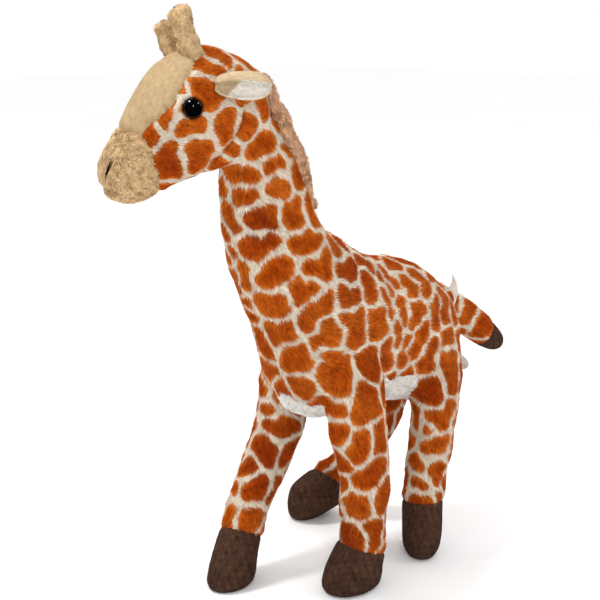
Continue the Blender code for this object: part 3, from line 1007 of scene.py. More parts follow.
@dataclass
class Surface:
    """A mesh as arrays: places, normals and triangles, with named numbers for each point."""

    obj: bpy.types.Object
    points: np.ndarray = field(init=False)
    normals: np.ndarray = field(init=False)
    triangles: np.ndarray = field(init=False)
    numbers: dict[str, np.ndarray] = field(default_factory=dict)

    def __post_init__(self) -> None:
        """Reads the mesh."""
        self.read()

    def read(self) -> None:
        """Reads places, normals and triangles from the mesh."""
        mesh = self.obj.data
        mesh.calc_loop_triangles()
        self.points = np.empty((len(mesh.vertices), 3), np.float32)
        mesh.vertices.foreach_get("co", self.points.ravel())
        self.normals = np.empty((len(mesh.vertices), 3), np.float32)
        mesh.vertex_normals.foreach_get("vector", self.normals.ravel())
        self.triangles = np.empty((len(mesh.loop_triangles), 3), np.int32)
        mesh.loop_triangles.foreach_get("vertices", self.triangles.ravel())
        self.points = self.points.astype(float)
        self.normals = self.normals.astype(float)

    def move(self, points: np.ndarray) -> None:
        """Writes new places to the mesh and reads its normals again.

        Args:
            points: the new places, in metres.
        """
        self.obj.data.vertices.foreach_set("co", points.astype(np.float32).ravel())
        self.obj.data.update()
        self.read()

    def tree(self) -> BVHTree:
        """A tree that finds the surface's nearest point to a place."""
        return BVHTree.FromObject(self.obj, bpy.context.evaluated_depsgraph_get())

    def write(self, *names: str) -> None:
        """Stores named numbers as attributes of the mesh.

        Args:
            names: which numbers to store.
        """
        for name in names:
            layer = self.obj.data.attributes.new(name, "FLOAT", "POINT")
            layer.data.foreach_set("value", self.numbers[name].astype(np.float32))


@dataclass(frozen=True)
class Seam:
    """A sewn line over the skin: points near it, how deep and wide it pulls in, and how much painted shade
    darkens it.
    """

    points: tuple
    depth: float = 1.1
    width: float = 1.5
    dark: float = 0.5
    on_head: bool = False
    both_sides: bool = False

    def paths(self, head: HeadPattern, skin: BVHTree) -> list[np.ndarray]:
        """Dense points of the seam, laid on the skin.

        Args:
            head: the head's pattern, whose frame the seam may use.
            skin: the skin's surface.

        Returns:
            One array of points for each side.
        """
        put = head.put if self.on_head else place
        made = []
        for side in (1, -1) if self.both_sides else (1,):
            rows = smooth_through(self.points, 10)
            made.append(np.array([skin.find_nearest(put(row[0] * side, row[1], row[2]))[0] for row in rows]))
        return made


# Each seam and fold also darkens the skin and pile with painted shade.
SEAMS = (
    # Down the back, from the end of the mane to the tail, and down the throat to the belly.
    Seam(((0, 4, 194), (0, -7, 186), (0, -30, 176), (0, -60, 166), (0, -90, 152)), 0.9, 1.4, 0.35),
    Seam(((0, 60, 232), (0, 60, 208), (0, 52, 180), (0, 42, 157), (0, 34, 135), (0, 26, 112)), 0.8, 1.4, 0.3),
    # Panel seam behind the withers, on both flanks.
    Seam(((3, -7, 186), (14, -9, 180), (22, -10.5, 172), (27, -11.5, 160)), 1.0, 1.4, 0.3, both_sides=True),
    # Where the jaw meets the neck, under the ear.
    Seam(
        ((4, -10, -33), (12, -13.3, -28.9), (18, -23, -14), (20, -26.5, -2)),
        2.6, 2.3, 0.7, on_head=True, both_sides=True,
    ),
    # Along the far end of the mouth, and the fold behind each nostril.
    Seam(((0, 37, -36.5), (7, 36, -36), (12, 30, -33.5), (15, 24, -31.5)), 1.0, 1.5, 0.45, True, True),
    Seam(((8.5, 36, -27.5), (11, 33, -25.4), (13.5, 28.5, -24.8), (15, 24, -27)), 0.9, 1.4, 0.35, True, True),
    Seam(((9.9, 34.7, -22.9), (8.7, 35.6, -26.4), (7.0, 36.4, -32.0)), 1.2, 1.2, 1.0, True, True),
)
# Folds of the waist, where the fabric is gathered in front of the hind legs, with painted shade in them.
WAIST = (
    Seam(
        ((25, -43, 160), (28, -46, 145), (28.5, -47, 128), (27, -47, 112), (21, -46, 96)),
        1.3, 2.2, 0.25, both_sides=True,
    ),
    Seam(((20, -37, 167), (27, -40, 150), (28.5, -41, 132)), 0.8, 1.8, 0.2, both_sides=True),
    Seam(((28, -52, 140), (28.5, -52.5, 124), (27, -51, 106), (22, -49, 94)), 0.9, 1.8, 0.2, both_sides=True),
)


@dataclass
class BodySkin:
    """The one skin of the stuffed body, with what is known at each of its points."""

    trunk: TrunkPattern
    head: HeadPattern
    tail: TailPattern
    legs: tuple[LegPattern, ...]
    voxel: float = 1.2
    passes: int = 13
    # Half width of the white belly panel in degrees, by distance along the trunk.
    gusset: tuple = (
        (0, 25), (30, 42), (45, 48), (60, 56), (78, 58), (90, 48), (102, 34), (114, 32), (124, 8),
    )
    gusset_end: float = 125
    stitch: float = 4.5  # from one stitch of a leg's seam to the next, mm
    depths: dict[str, float] = field(
        default_factory=lambda: {"patched": 0.8, "tan": 0.6, "curly": 1.3, "brown": 0.4, "white": 1.2}
    )
    forms: list[Form] = field(init=False)
    surface: Surface = field(init=False)
    panel: np.ndarray = field(init=False)  # name of the panel that each point belongs to
    zone: np.ndarray = field(init=False)  # name of the finish there

    def build(self) -> None:
        """Fuses the stuffed forms and shapes their seams, sockets and folds."""
        forms = [self.trunk.form(), self.head.form(), self.tail.form()]
        forms += [form for leg in self.legs for form in leg.forms()]
        skin = mesh_object("skin", lambda made: [form.add_to(made) for form in forms])
        refine(skin, self.voxel, self.passes)
        self.forms = forms
        self.surface = Surface(skin)
        self.find_panels()
        self.shape()

    def find_panels(self) -> None:
        """Finds the panel and finish of each point, and its place on the form under it."""
        points, numbers = self.surface.points, self.surface.numbers
        found = np.stack([form.locate(points) for form in self.forms])
        which = np.argmin(found[:, :, 2], axis=0)
        rows = np.arange(len(points))
        numbers["along"], numbers["around"] = found[which, rows, 0], found[which, rows, 1]
        # How far each point is from a panel's seam, and how far inside its zone: below 0 outside all.
        numbers["seam_off"] = np.full(len(points), 99.0)
        numbers["border"] = np.full(len(points), -BORDER_REACH)
        self.panel = np.array([form.name for form in self.forms], dtype="<U24")[which]
        self.zone = np.full(len(points), "patched", dtype="<U8")
        self.part_head()
        self.part_trunk()
        self.dip(self.panel == "tail", self.tail.tip_seam(), "tail_tip")
        for leg in self.legs:
            limb = f"leg_{leg.name}"
            mine = (self.panel == limb) | (self.panel == f"hoof_{leg.name}")
            self.panel[mine] = limb
            self.dip(mine, leg.foot_seam(), f"hoof_{leg.name}")
        numbers["border"] = np.clip(numbers["border"], -BORDER_REACH, BORDER_REACH)

    def part_head(self) -> None:
        """Marks the tan face and the curly muzzle on the head."""
        off, border = self.surface.numbers["seam_off"], self.surface.numbers["border"]
        on_head = self.panel == "head"
        tan, low = self.head.in_tan(self.surface.points), self.head.in_muzzle(self.surface.points)
        face = on_head & (tan > 0)
        self.panel[face], self.zone[face] = "face", "tan"
        muzzle = face & (low > 0)
        self.panel[muzzle], self.zone[muzzle] = "muzzle", "curly"
        off[on_head] = np.abs(tan[on_head])
        border[on_head] = tan[on_head]
        bridge = on_head & (tan > -1)
        off[bridge] = np.minimum(off[bridge], np.abs(low[bridge]) * 0.9)

    def part_trunk(self) -> None:
        """Parts the trunk into neck, trunk, rump and the white belly."""
        points, numbers = self.surface.points, self.surface.numbers
        on_trunk = self.panel == "trunk"
        top, bottom = (np.array(place(0, *end)) for end in self.trunk.shoulder_seam)
        normal = unit(np.cross(np.array((1.0, 0, 0)), bottom - top))
        above = (points - top) @ normal * np.sign(normal[2]) > 0
        self.panel[on_trunk & above] = "neck"
        behind = points[:, 1] > place(0, self.trunk.rump_from, 0).y
        self.panel[on_trunk & ~above & behind] = "rump"
        along = numbers["along"]
        half = np.interp(along, *np.array(self.gusset).T)
        off_belly = 180 - np.degrees(np.abs(numbers["around"]))
        inside = (half + 2 * ripple(points, 14, 8) - off_belly) * MM_TO_A_DEGREE
        inside = np.minimum(inside, self.gusset_end - along)
        numbers["border"][on_trunk] = inside[on_trunk]
        white = on_trunk & (inside > 0)
        self.panel[white], self.zone[white] = "belly", "white"

    def dip(self, mask: np.ndarray, seam: tuple[Vector, Vector], panel: str) -> None:
        """Marks the brown end of the tail or of a leg.

        Args:
            mask: picks the points of the tail or the leg.
            seam: a point of the brown end's seam, and the seam's normal, which points to the end.
            panel: what the brown end is called.
        """
        at, heading = seam
        off = (self.surface.points - np.array(at)) @ np.array(heading) / MM
        beyond = mask & (off > 0)
        self.panel[beyond], self.zone[beyond] = panel, "brown"
        self.surface.numbers["seam_off"][mask] = np.abs(off[mask])
        self.surface.numbers["border"][mask] = off[mask]

    def shape(self) -> None:
        """Draws the skin in under its pile, sews its seams, sockets and folds, and paints shade into the
        seams and folds.
        """
        surface = self.surface
        depth = np.zeros(len(surface.points))
        for name, value in self.depths.items():
            depth[self.zone == name] = value
        lumps = 0.35 * ripple(surface.points, 26, 4) + 0.12 * ripple(surface.points, 9, 5)
        depth -= np.where(self.zone == "brown", 0.3, 1.0) * lumps
        near = bell(surface.numbers["seam_off"], 1.3)
        depth += 0.9 * near
        # Painted shade along the panels' seams.
        dark = 0.3 * near
        tree = surface.tree()
        for seam in SEAMS + WAIST:
            for path in seam.paths(self.head, tree):
                off = distance_to(surface.points, path, 4 * seam.width) / MM
                depth += seam.depth * bell(off, seam.width)
                # Painted shade along each sewn seam and fold.
                dark = np.maximum(dark, seam.dark * bell(off, 0.55 * seam.width))
        depth, dark = self.sew_legs(depth, dark)
        points = surface.points - surface.normals * depth[:, None] * MM
        points = self.press_sockets(points)
        points[:, 2] = np.maximum(points[:, 2], 0.0)
        # The painted seam shade, which skin and pile both read.
        surface.numbers["seam"] = dark
        surface.move(points)

    def sew_legs(self, depth: np.ndarray, dark: np.ndarray) -> tuple[np.ndarray, np.ndarray]:
        """Adds the two stitched lines down each leg, with a small pucker at each stitch, and painted shade
        along them.

        Args:
            depth: how deep each point of the skin lies so far, in millimetres.
            dark: how much painted shade the seams give it so far.

        Returns:
            The new depths and amounts of painted shade.
        """
        numbers = self.surface.numbers
        for leg in self.legs:
            mine = self.panel == f"leg_{leg.name}"
            for angle in leg.seam_angles:
                turn = numbers["around"] - math.radians(angle)
                off = np.abs((turn + math.pi) % (2 * math.pi) - math.pi) * 12
                stitch = 0.75 + 0.25 * np.cos(numbers["along"] * 2 * math.pi / self.stitch)
                depth = depth + np.where(mine, bell(off, 1.3), 0) * stitch
                dark = np.maximum(dark, 0.6 * np.where(mine, bell(off, 0.8), 0) * stitch)
        return depth, dark

    def press_sockets(self, points: np.ndarray) -> np.ndarray:
        """Presses the skin in behind each bead and raises a soft lid over it.

        Args:
            points: places of the skin's corners.

        Returns:
            Their new places.
        """
        for side in (1, -1):
            bead = np.array(self.head.bead(side))
            sizes = np.linalg.norm(bead[:3, :3], axis=0)
            axes = bead[:3, :3] / sizes
            own = (points - bead[:3, 3]) @ axes
            out = own[:, 0] * side / MM
            ring = np.hypot(own[:, 1], own[:, 2]) / sizes[1]
            near = (ring < 2.2) & (out > -8)
            floor = -1.6 + (out + 1.6) * ease(ring, 0.8, 1.22)
            pressed = np.where(near, np.minimum(out, floor), out)
            lid = 0.9 * bell(ring - 1.28, 0.22) * np.clip(own[:, 2] / sizes[2], 0, 1)
            pressed = pressed + np.where(near, lid, 0)
            points = points + ((pressed - out) * side * MM)[:, None] * axes[:, 0]
        return points

    def dress(self) -> None:
        """Gives each face of the skin the finish of its panel, and rides the skin on the toy."""
        mesh = self.surface.obj.data
        order = list(self.depths)
        mesh.materials.clear()
        for name in order:
            mesh.materials.append(look(name))
        corners = np.empty(len(mesh.loops), np.int32)
        mesh.loops.foreach_get("vertex_index", corners)
        corners = corners.reshape(len(mesh.polygons), -1)
        inside = self.surface.numbers["border"][corners]
        inside *= np.sign(inside.mean(axis=1, keepdims=True))
        zones = self.zone[corners[np.arange(len(corners)), inside.argmax(axis=1)]]
        index = np.select([zones == name for name in order], range(len(order)), 0)
        mesh.polygons.foreach_set("material_index", index.astype(np.int32))
        mesh.shade_smooth()
        points, numbers = self.surface.points, self.surface.numbers
        numbers["tip"] = np.full(len(points), SKIN_TIP)
        numbers["tint"] = np.clip(0.5 + 0.2 * ripple(points, 3.0, 31), 0, 1)
        numbers["tone"] = tone(points)
        self.surface.write("net", "seam", "tip", "tint", "tone")
        skin = self.surface.obj
        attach(skin, BODY)
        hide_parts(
            "head", "muzzle", "neck", "trunk", "tail", "tail_tip",
            *(f"{kind}_{leg.name}" for leg in self.legs for kind in ("leg", "hoof")),
        )


def distance_to(points: np.ndarray, path: np.ndarray, reach: float) -> np.ndarray:
    """Distance from places to a path.

    Args:
        points: places in metres.
        path: close points of the path, in metres.
        reach: how far from the path the distance matters, in millimetres.

    Returns:
        One distance in metres for each place, and a large one out of reach.
    """
    made = np.full(len(points), 1.0)
    low, high = path.min(0) - reach * MM, path.max(0) + reach * MM
    at = np.flatnonzero(np.all((points > low) & (points < high), axis=1))
    if len(at):
        start, end = path[:-1], path[1:]
        run = end - start
        away = points[at, None] - start
        share = np.clip(np.sum(away * run, axis=2) / np.maximum(np.sum(run * run, axis=1), 1e-15), 0, 1)
        made[at] = np.linalg.norm(away - share[..., None] * run, axis=2).min(axis=1)
    return made


# ---- printed patches


# The patches that are listed, by form. Each patch is one or more spots, and each spot is its
# distance along the form (mm) and its angle round it (degrees). Spots of one patch run together.
PATCHES = {
    "trunk": (
        # neck, from the jaw down
        ((223, 129), (225, 111), (220, 96)), ((223, 66),), ((213, 108), (208, 84)), ((207, 68),),
        ((217, 174), (214, 135)), ((201, 99), (196, 93)), ((195, 60), (188, 66)),
        ((209, 168), (204, 138)), ((210, -167),), ((202, 184), (196, 170)),
        ((198, 135), (193, 114), (190, 117), (195, 138)), ((183, 75), (187, 96), (178, 87)),
        ((193, -168),), ((189, 151), (186, 157), (183, 139), (183, 124)),
        ((171, 97), (166, 81), (157, 73), (164, 87)), ((173, 60), (164, 63)), ((185, -173),),
        ((181, -160),), ((180.5, 177), (173.5, 179)), ((171, 143), (175, 131), (171, 118), (168, 125)),
        ((157, 94), (144, 80), (142, 67)), ((160, 117), (149, 99), (154, 117)),
        ((165, 158), (162, 142), (158, 144), (160, 157)), ((175, -163), (169, -163)), ((164.5, -172),),
        # chest and shoulder
        ((122, 55), (113, 49), (115, 54)), ((122, 72), (110, 67), (120, 75)), ((121, 38),), ((105, 23),),
        ((138, 93), (144, 111), (145, 126)), ((132, 106), (124, 99), (125, 109), (134, 120)),
        ((154, 166), (150, 145), (146, 147), (149, 165)),
        ((142, 153), (139, 139), (132, 138), (137, 150)), ((126.5, 152),),
        ((124, 112), (124, 127), (114, 112), (112, 126)), ((157, -168),), ((150, -172), (144, -170)),
        # flank and waist
        ((92, 32), (85.5, 38)), ((93, 49), (94, 62)), ((79, 42), (74, 54)), ((72.5, 38), (67, 46)),
        ((62, 23), (56.5, 30)), ((59, 42), (55, 53)), ((50, 37), (44.5, 52)), ((48, 13), (34, 14)),
        ((29, 22), (22, 30)), ((79, 60), (78, 73)), ((69, 60), (66.5, 76)), ((55, 67), (58.5, 78)),
        ((38, 64), (41, 78)), ((119, 84), (107, 78), (106, 93), (112, 93)),
        ((93, 75), (87, 75), (86, 84), (93, 87)), ((73, 82), (72, 93)), ((64.5, 94), (67, 108)),
        ((52, 86), (58.5, 102)), ((82, 95), (79, 108)), ((102, 102), (95, 102), (97, 112)),
        ((43, 97), (46.5, 113)), ((30, 90),), ((24, 48), (29, 66)), ((84, 14), (96, 10)), ((70, 10),),
        ((110, -4),),
    ),
    "head": (
        ((32, 23), (25.5, 36)), ((36, 36), (31, 48)), ((20, 40),),
        ((40.5, 62), (36.5, 65), (32.5, 69), (35.5, 82)), ((46, 56.5),), ((52, 67), (53, 73), (56.5, 72)),
        ((48, 78),), ((48, 90), (41, 94)), ((64, 70), (65, 76)),
        ((59.5, 98), (58, 121), (63.5, 111), (61, 131)), ((44, 116), (37.5, 118), (41.5, 135)),
        ((27, 96), (30, 105), (26, 114)), ((8, 81), (6, 96)), ((15, 98), (17, 110)), ((21.5, 133),),
        ((26, 150),), ((66.5, 150),), ((16, 20), (10, 26)),
    ),
    "tail": (
        ((25, -38), (21, 0), (22, 28)), ((28, 78), (27, 110)), ((42, -32), (40, 5), (39, 38)),
        ((44, 88),), ((25, 175), (22, -120)), ((41, 160), (41, -110)), ((10, 0), (9, 40)),
    ),
    "leg_front_left": (
        ((25, 14), (34, 27), (33, 8)), ((28, 106), (31, 76)), ((42, 74), (44, 95)),
        ((47.5, 30), (53.5, 52)), ((46, -7), (54, -11)), ((58, 97), (60, 118)),
        ((68.5, 50), (67, 25), (64.5, 4)), ((84, 84), (84.5, 48)), ((76, -8), (83, 3)),
        ((100, 95), (103, 62)), ((96, 13), (104, 14)), ((73, 115), (88, 122)), ((52, 150), (44, 160)),
        ((66, 155),), ((64, -50), (58, -60)), ((80, 160), (92, 165)), ((72, -85), (80, -80)),
        ((92, -45), (100, -40)), ((50, -95), (42, -80)), ((98, -100), (104, -120)), ((88, -130),),
        ((62, -140),),
    ),
    "leg_front_right": (
        ((55.5, 70), (54.5, 45), (53, 20)), ((45, 82),), ((66.5, 84), (72.5, 62), (72, 36)),
        ((64, -15), (70, -5)), ((84, 104), (81, 85)), ((94, 68), (87.5, 38), (92, 20)),
        ((84, -18), (91, -12)), ((95, 112),), ((107, 48), (105.5, 22), (104, 0)), ((105, 93), (111, 104)),
        ((32, 70),), ((18, 72), (26, 68)), ((33, 98),), ((60, 120), (68, 135)), ((78, 140), (84, 160)),
        ((100, 140), (108, 160)), ((52, 160), (46, 150)), ((76, -50), (70, -75)), ((92, -60), (98, -80)),
        ((108, -40), (110, -70)), ((60, -110), (54, -90)), ((84, -110), (78, -130)),
        ((100, -130), (108, -140)), ((66, 175),), ((92, 175),),
    ),
    "leg_hind_left": (
        ((15, 2), (23, 0), (31, -2)), ((28, 50), (35, 75), (37, 45)), ((41, 4), (50.5, 30), (47.5, 52)),
        ((45, 98), (53, 97)), ((54.5, 64),), ((65.5, 64), (64, 35), (62.5, 5)), ((73, 92), (76.5, 70)),
        ((77, 38), (77, 12), (82, 10)), ((84, 75), (86, 52)), ((93, 58), (93, 32)), ((91, 8),),
        ((64, 115), (60, 135)), ((84, 120), (90, 140)), ((50, 150), (44, 165)), ((74, 160), (78, 180)),
        ((66, -30), (60, -50)), ((84, -30), (90, -50)), ((48, -40), (40, -60)), ((74, -75), (66, -95)),
        ((88, -100), (92, -130)), ((52, -110), (44, -130)), ((76, -140),), ((60, -165),),
        ((32, -45), (24, -50)),
    ),
    "leg_hind_right": (((103, 105), (100, 112)), ((103, 55), (99, 45)), ((91, 75), (87, 80))),
}


@dataclass
class Markings:
    """The printed net of patches: spots of patches, and the net half way between patches."""

    seed: int = 11
    spacing: float = 13.5  # between patches that aren't listed, mm
    apart: float = 9.5  # least distance from a patch on the left to its like on the right, mm
    rounding: float = 0.9  # how much the corners of a patch are rounded, mm
    spots: np.ndarray = field(init=False)
    patch: np.ndarray = field(init=False)  # number of the patch that each spot belongs to

    def place_patches(self, skin: BodySkin) -> None:
        """Places the given patches, their likes on the right side, and the rest between them.

        Args:
            skin: the body's skin.
        """
        forms = {form.name: form for form in skin.forms}
        tree = skin.surface.tree()

        def spots(name: str, patch: Sequence[Numbers], like: bool = False) -> np.ndarray:
            """Places on the skin of one patch, or of its like on the right side."""
            rows = [(along - 3.5, -angle - 4) if like else (along, angle) for along, angle in patch]
            return np.array([tuple(tree.find_nearest(Vector(forms[name].point(*row)))[0]) for row in rows])

        groups = [spots(name, patch) for name, patches in PATCHES.items() for patch in patches]
        by_hand = np.concatenate(groups)
        for name in ("trunk", "head"):
            for patch in PATCHES[name]:
                like = spots(name, patch, True)
                if squares(like, by_hand).min() > (self.apart * MM) ** 2:
                    groups.append(like)
        rng = np.random.default_rng(self.seed)
        points = skin.surface.points
        free = np.flatnonzero(skin.zone == "patched")
        rng.shuffle(free)
        taken = np.concatenate(groups)
        near = squares(points[free], taken).min(axis=1)
        added: list[np.ndarray] = []
        for at in free[near > (0.92 * self.spacing * MM) ** 2]:
            if all(np.linalg.norm(points[at] - other) > self.spacing * MM for other in added):
                added.append(points[at])
        groups += [point[None] for point in added]
        self.spots = np.concatenate(groups)
        self.patch = np.repeat(np.arange(len(groups)), [len(group) for group in groups])

    def measure(self, points: np.ndarray, batch: int = 20000, close: int = 16, far: float = 60) -> np.ndarray:
        """Measures the printed net.

        Args:
            points: places in metres, one to a row.
            batch: how many places are worked out at once.
            close: how many of the closest spots count at each place.
            far: an edge further away than this doesn't count, in millimetres.

        Returns:
            How far inside its patch each place lies, in millimetres from the middle of the net.
        """
        warp = np.stack([ripple(points, 14, 60 + i) for i in range(3)], axis=1) * 0.5 * MM
        warp += np.stack([ripple(points, 4.5, 70 + i) for i in range(3)], axis=1) * 0.16 * MM
        bent = points + warp
        made = np.empty(len(points))
        for start in range(0, len(points), batch):
            away = squares(bent[start : start + batch], self.spots)
            near = np.argpartition(away, close, axis=1)[:, :close]
            rows = np.arange(len(away))[:, None]
            own = away.argmin(axis=1)[:, None]
            gap = np.linalg.norm(self.spots[near] - self.spots[own], axis=2)
            edge = (away[rows, near] - away[rows, own]) / (2 * np.maximum(gap, 1e-6)) / MM
            edge = np.where(self.patch[near] == self.patch[own], far, edge)
            total = np.sum(np.exp(-np.minimum(edge, far) / self.rounding), axis=1)
            made[start : start + batch] = -self.rounding * np.log(total)
        return made + 0.22 * ripple(points, 9, 77)


def squares(points: np.ndarray, centres: np.ndarray) -> np.ndarray:
    """Squared distances from each place to each centre.

    Args:
        points: the places.
        centres: the centres.

    Returns:
        A row for each place and a column for each centre.
    """
    return (
        np.sum(points**2, axis=1)[:, None] + np.sum(centres**2, axis=1)[None] - 2 * points @ centres.T
    ).clip(0)


# ---- pile


@dataclass(frozen=True)
class Pile:
    """Sizes of one kind of pile, in millimetres and degrees."""

    length: float
    width: float
    density: float  # tufts to a square millimetre
    lift: float = 24.0  # how steeply a tuft leaves the skin
    sway: float = 12.0  # random turn of each tuft
    swirl: float = 10.0  # turn of whole locks
    swirl_wave: float = 12.0
    curl: float = 0.0  # share of its length by which a tuft bends; 0 makes it straight
    lock: int = 6  # tufts to a lock
    drawn: float = 0.35  # how far the tips of a lock are drawn together


PILES = {
    "body": Pile(2.9, 0.46, 4.6, lift=17, sway=7, swirl=9, lock=5, drawn=0.4),
    "head": Pile(2.3, 0.42, 4.7, lift=17, sway=8, swirl=12, swirl_wave=8, lock=5, drawn=0.4),
    "face": Pile(1.0, 0.34, 5.4, lift=18, sway=10, swirl=14, swirl_wave=9, lock=4, drawn=0.15),
    "muzzle": Pile(2.2, 0.42, 4.4, lift=24, sway=9, swirl=42, swirl_wave=8, curl=0.1, lock=6, drawn=0.5),
    "belly": Pile(3.4, 0.6, 2.4, lift=36, swirl=26, swirl_wave=8, curl=0.2, lock=9, drawn=0.6),
    "hoof": Pile(0.8, 0.34, 4.4, lift=30, sway=16, swirl=18, swirl_wave=9, drawn=0.2),
    "horn": Pile(1.9, 0.42, 4.2, lift=26, sway=9, swirl=50, swirl_wave=6, curl=0.12, lock=6, drawn=0.5),
    "ear": Pile(1.5, 0.42, 4.4, lift=20, sway=9),
    "ear_inside": Pile(1.7, 0.44, 4.2, lift=20, swirl=14, drawn=0.45),
    "mane": Pile(4.2, 0.6, 4.0, lift=30, sway=9, swirl=16, swirl_wave=5, curl=0.18, lock=12, drawn=0.7),
}
# The way that the pile lies by kind of panel: back on body and head, down on neck, legs and hooves.
LIES = {
    "body": (0.0, 1.0, -0.22), "neck": (0.0, 0.45, -1.0), "leg": (0.0, 0.4, -1.0), "hoof": (0.0, 0.35, -1.0),
    "head": (0.0, 1.0, -0.35), "face": (0.0, 1.0, -0.35), "muzzle": (0.0, 1.0, -0.35),
}


@dataclass
class Roots:
    """Where tufts stand: their places, the skin's normals there, and what the skin knows there."""

    points: np.ndarray
    normals: np.ndarray
    numbers: dict[str, np.ndarray]
    corners: np.ndarray  # the three points of the skin round each root
    weights: np.ndarray  # and how near the root is to each

    @classmethod
    def scatter(cls, surface: Surface, triangles: np.ndarray, density: float, seed: int) -> Roots:
        """Scatters roots over some of a surface's triangles.

        Args:
            surface: the surface.
            triangles: its triangles to cover.
            density: roots to a square millimetre.
            seed: picks the places.

        Returns:
            The roots.
        """
        rng = np.random.default_rng(seed)
        a, b, c = (surface.points[triangles[:, i]] for i in range(3))
        area = np.linalg.norm(np.cross(b - a, c - a), axis=1) / 2 / MM**2
        count = np.floor(area * density + rng.random(len(area))).astype(int)
        rows = np.repeat(triangles, count, axis=0)
        u, v = rng.random((2, len(rows)))
        over = u + v > 1
        u[over], v[over] = 1 - u[over], 1 - v[over]
        weights = np.stack((1 - u - v, u, v), axis=1)

        def blend(values: np.ndarray) -> np.ndarray:
            """Values of the points, mixed over each triangle.

            Args:
                values: one value or direction for each corner of the surface.

            Returns:
                One for each root.
            """
            picked = values[rows]
            mixed = weights[..., None] if values.ndim == 2 else weights
            return np.sum(picked * mixed, axis=1)

        numbers = {name: blend(values) for name, values in surface.numbers.items() if name != "around"}
        if "around" in surface.numbers:
            numbers["around"] = surface.numbers["around"][rows[:, 0]]
        return cls(blend(surface.points), unit(blend(surface.normals)), numbers, rows, weights)

    def keep(self, mask: np.ndarray) -> Roots:
        """The roots that a mask picks.

        Args:
            mask: true for each root to keep.

        Returns:
            Those roots.
        """
        numbers = {name: values[mask] for name, values in self.numbers.items()}
        return Roots(
            self.points[mask], self.normals[mask], numbers, self.corners[mask], self.weights[mask]
        )

    def nearest(self, border: np.ndarray) -> np.ndarray:
        """The skin's point nearest each root, on the root's own side of a border.

        Args:
            border: for each point of the skin, how far it lies inside the border.

        Returns:
            One number of a point of the skin for each root.
        """
        at_corners = border[self.corners]
        inside = np.sum(at_corners * self.weights, axis=1, keepdims=True) > 0
        same = (at_corners > 0) == inside
        best = np.argmax(self.weights + same, axis=1)
        return self.corners[np.arange(len(best)), best]


def along_surface(ways: np.ndarray, normals: np.ndarray) -> np.ndarray:
    """Directions laid flat on the surface."""
    return unit(ways - normals * np.sum(ways * normals, axis=1, keepdims=True))


def turned(ways: np.ndarray, normals: np.ndarray, angles: np.ndarray) -> np.ndarray:
    """Directions on the surface, turned about its normals by angles in radians."""
    side = np.cross(normals, ways)
    return ways * np.cos(angles)[:, None] + side * np.sin(angles)[:, None]


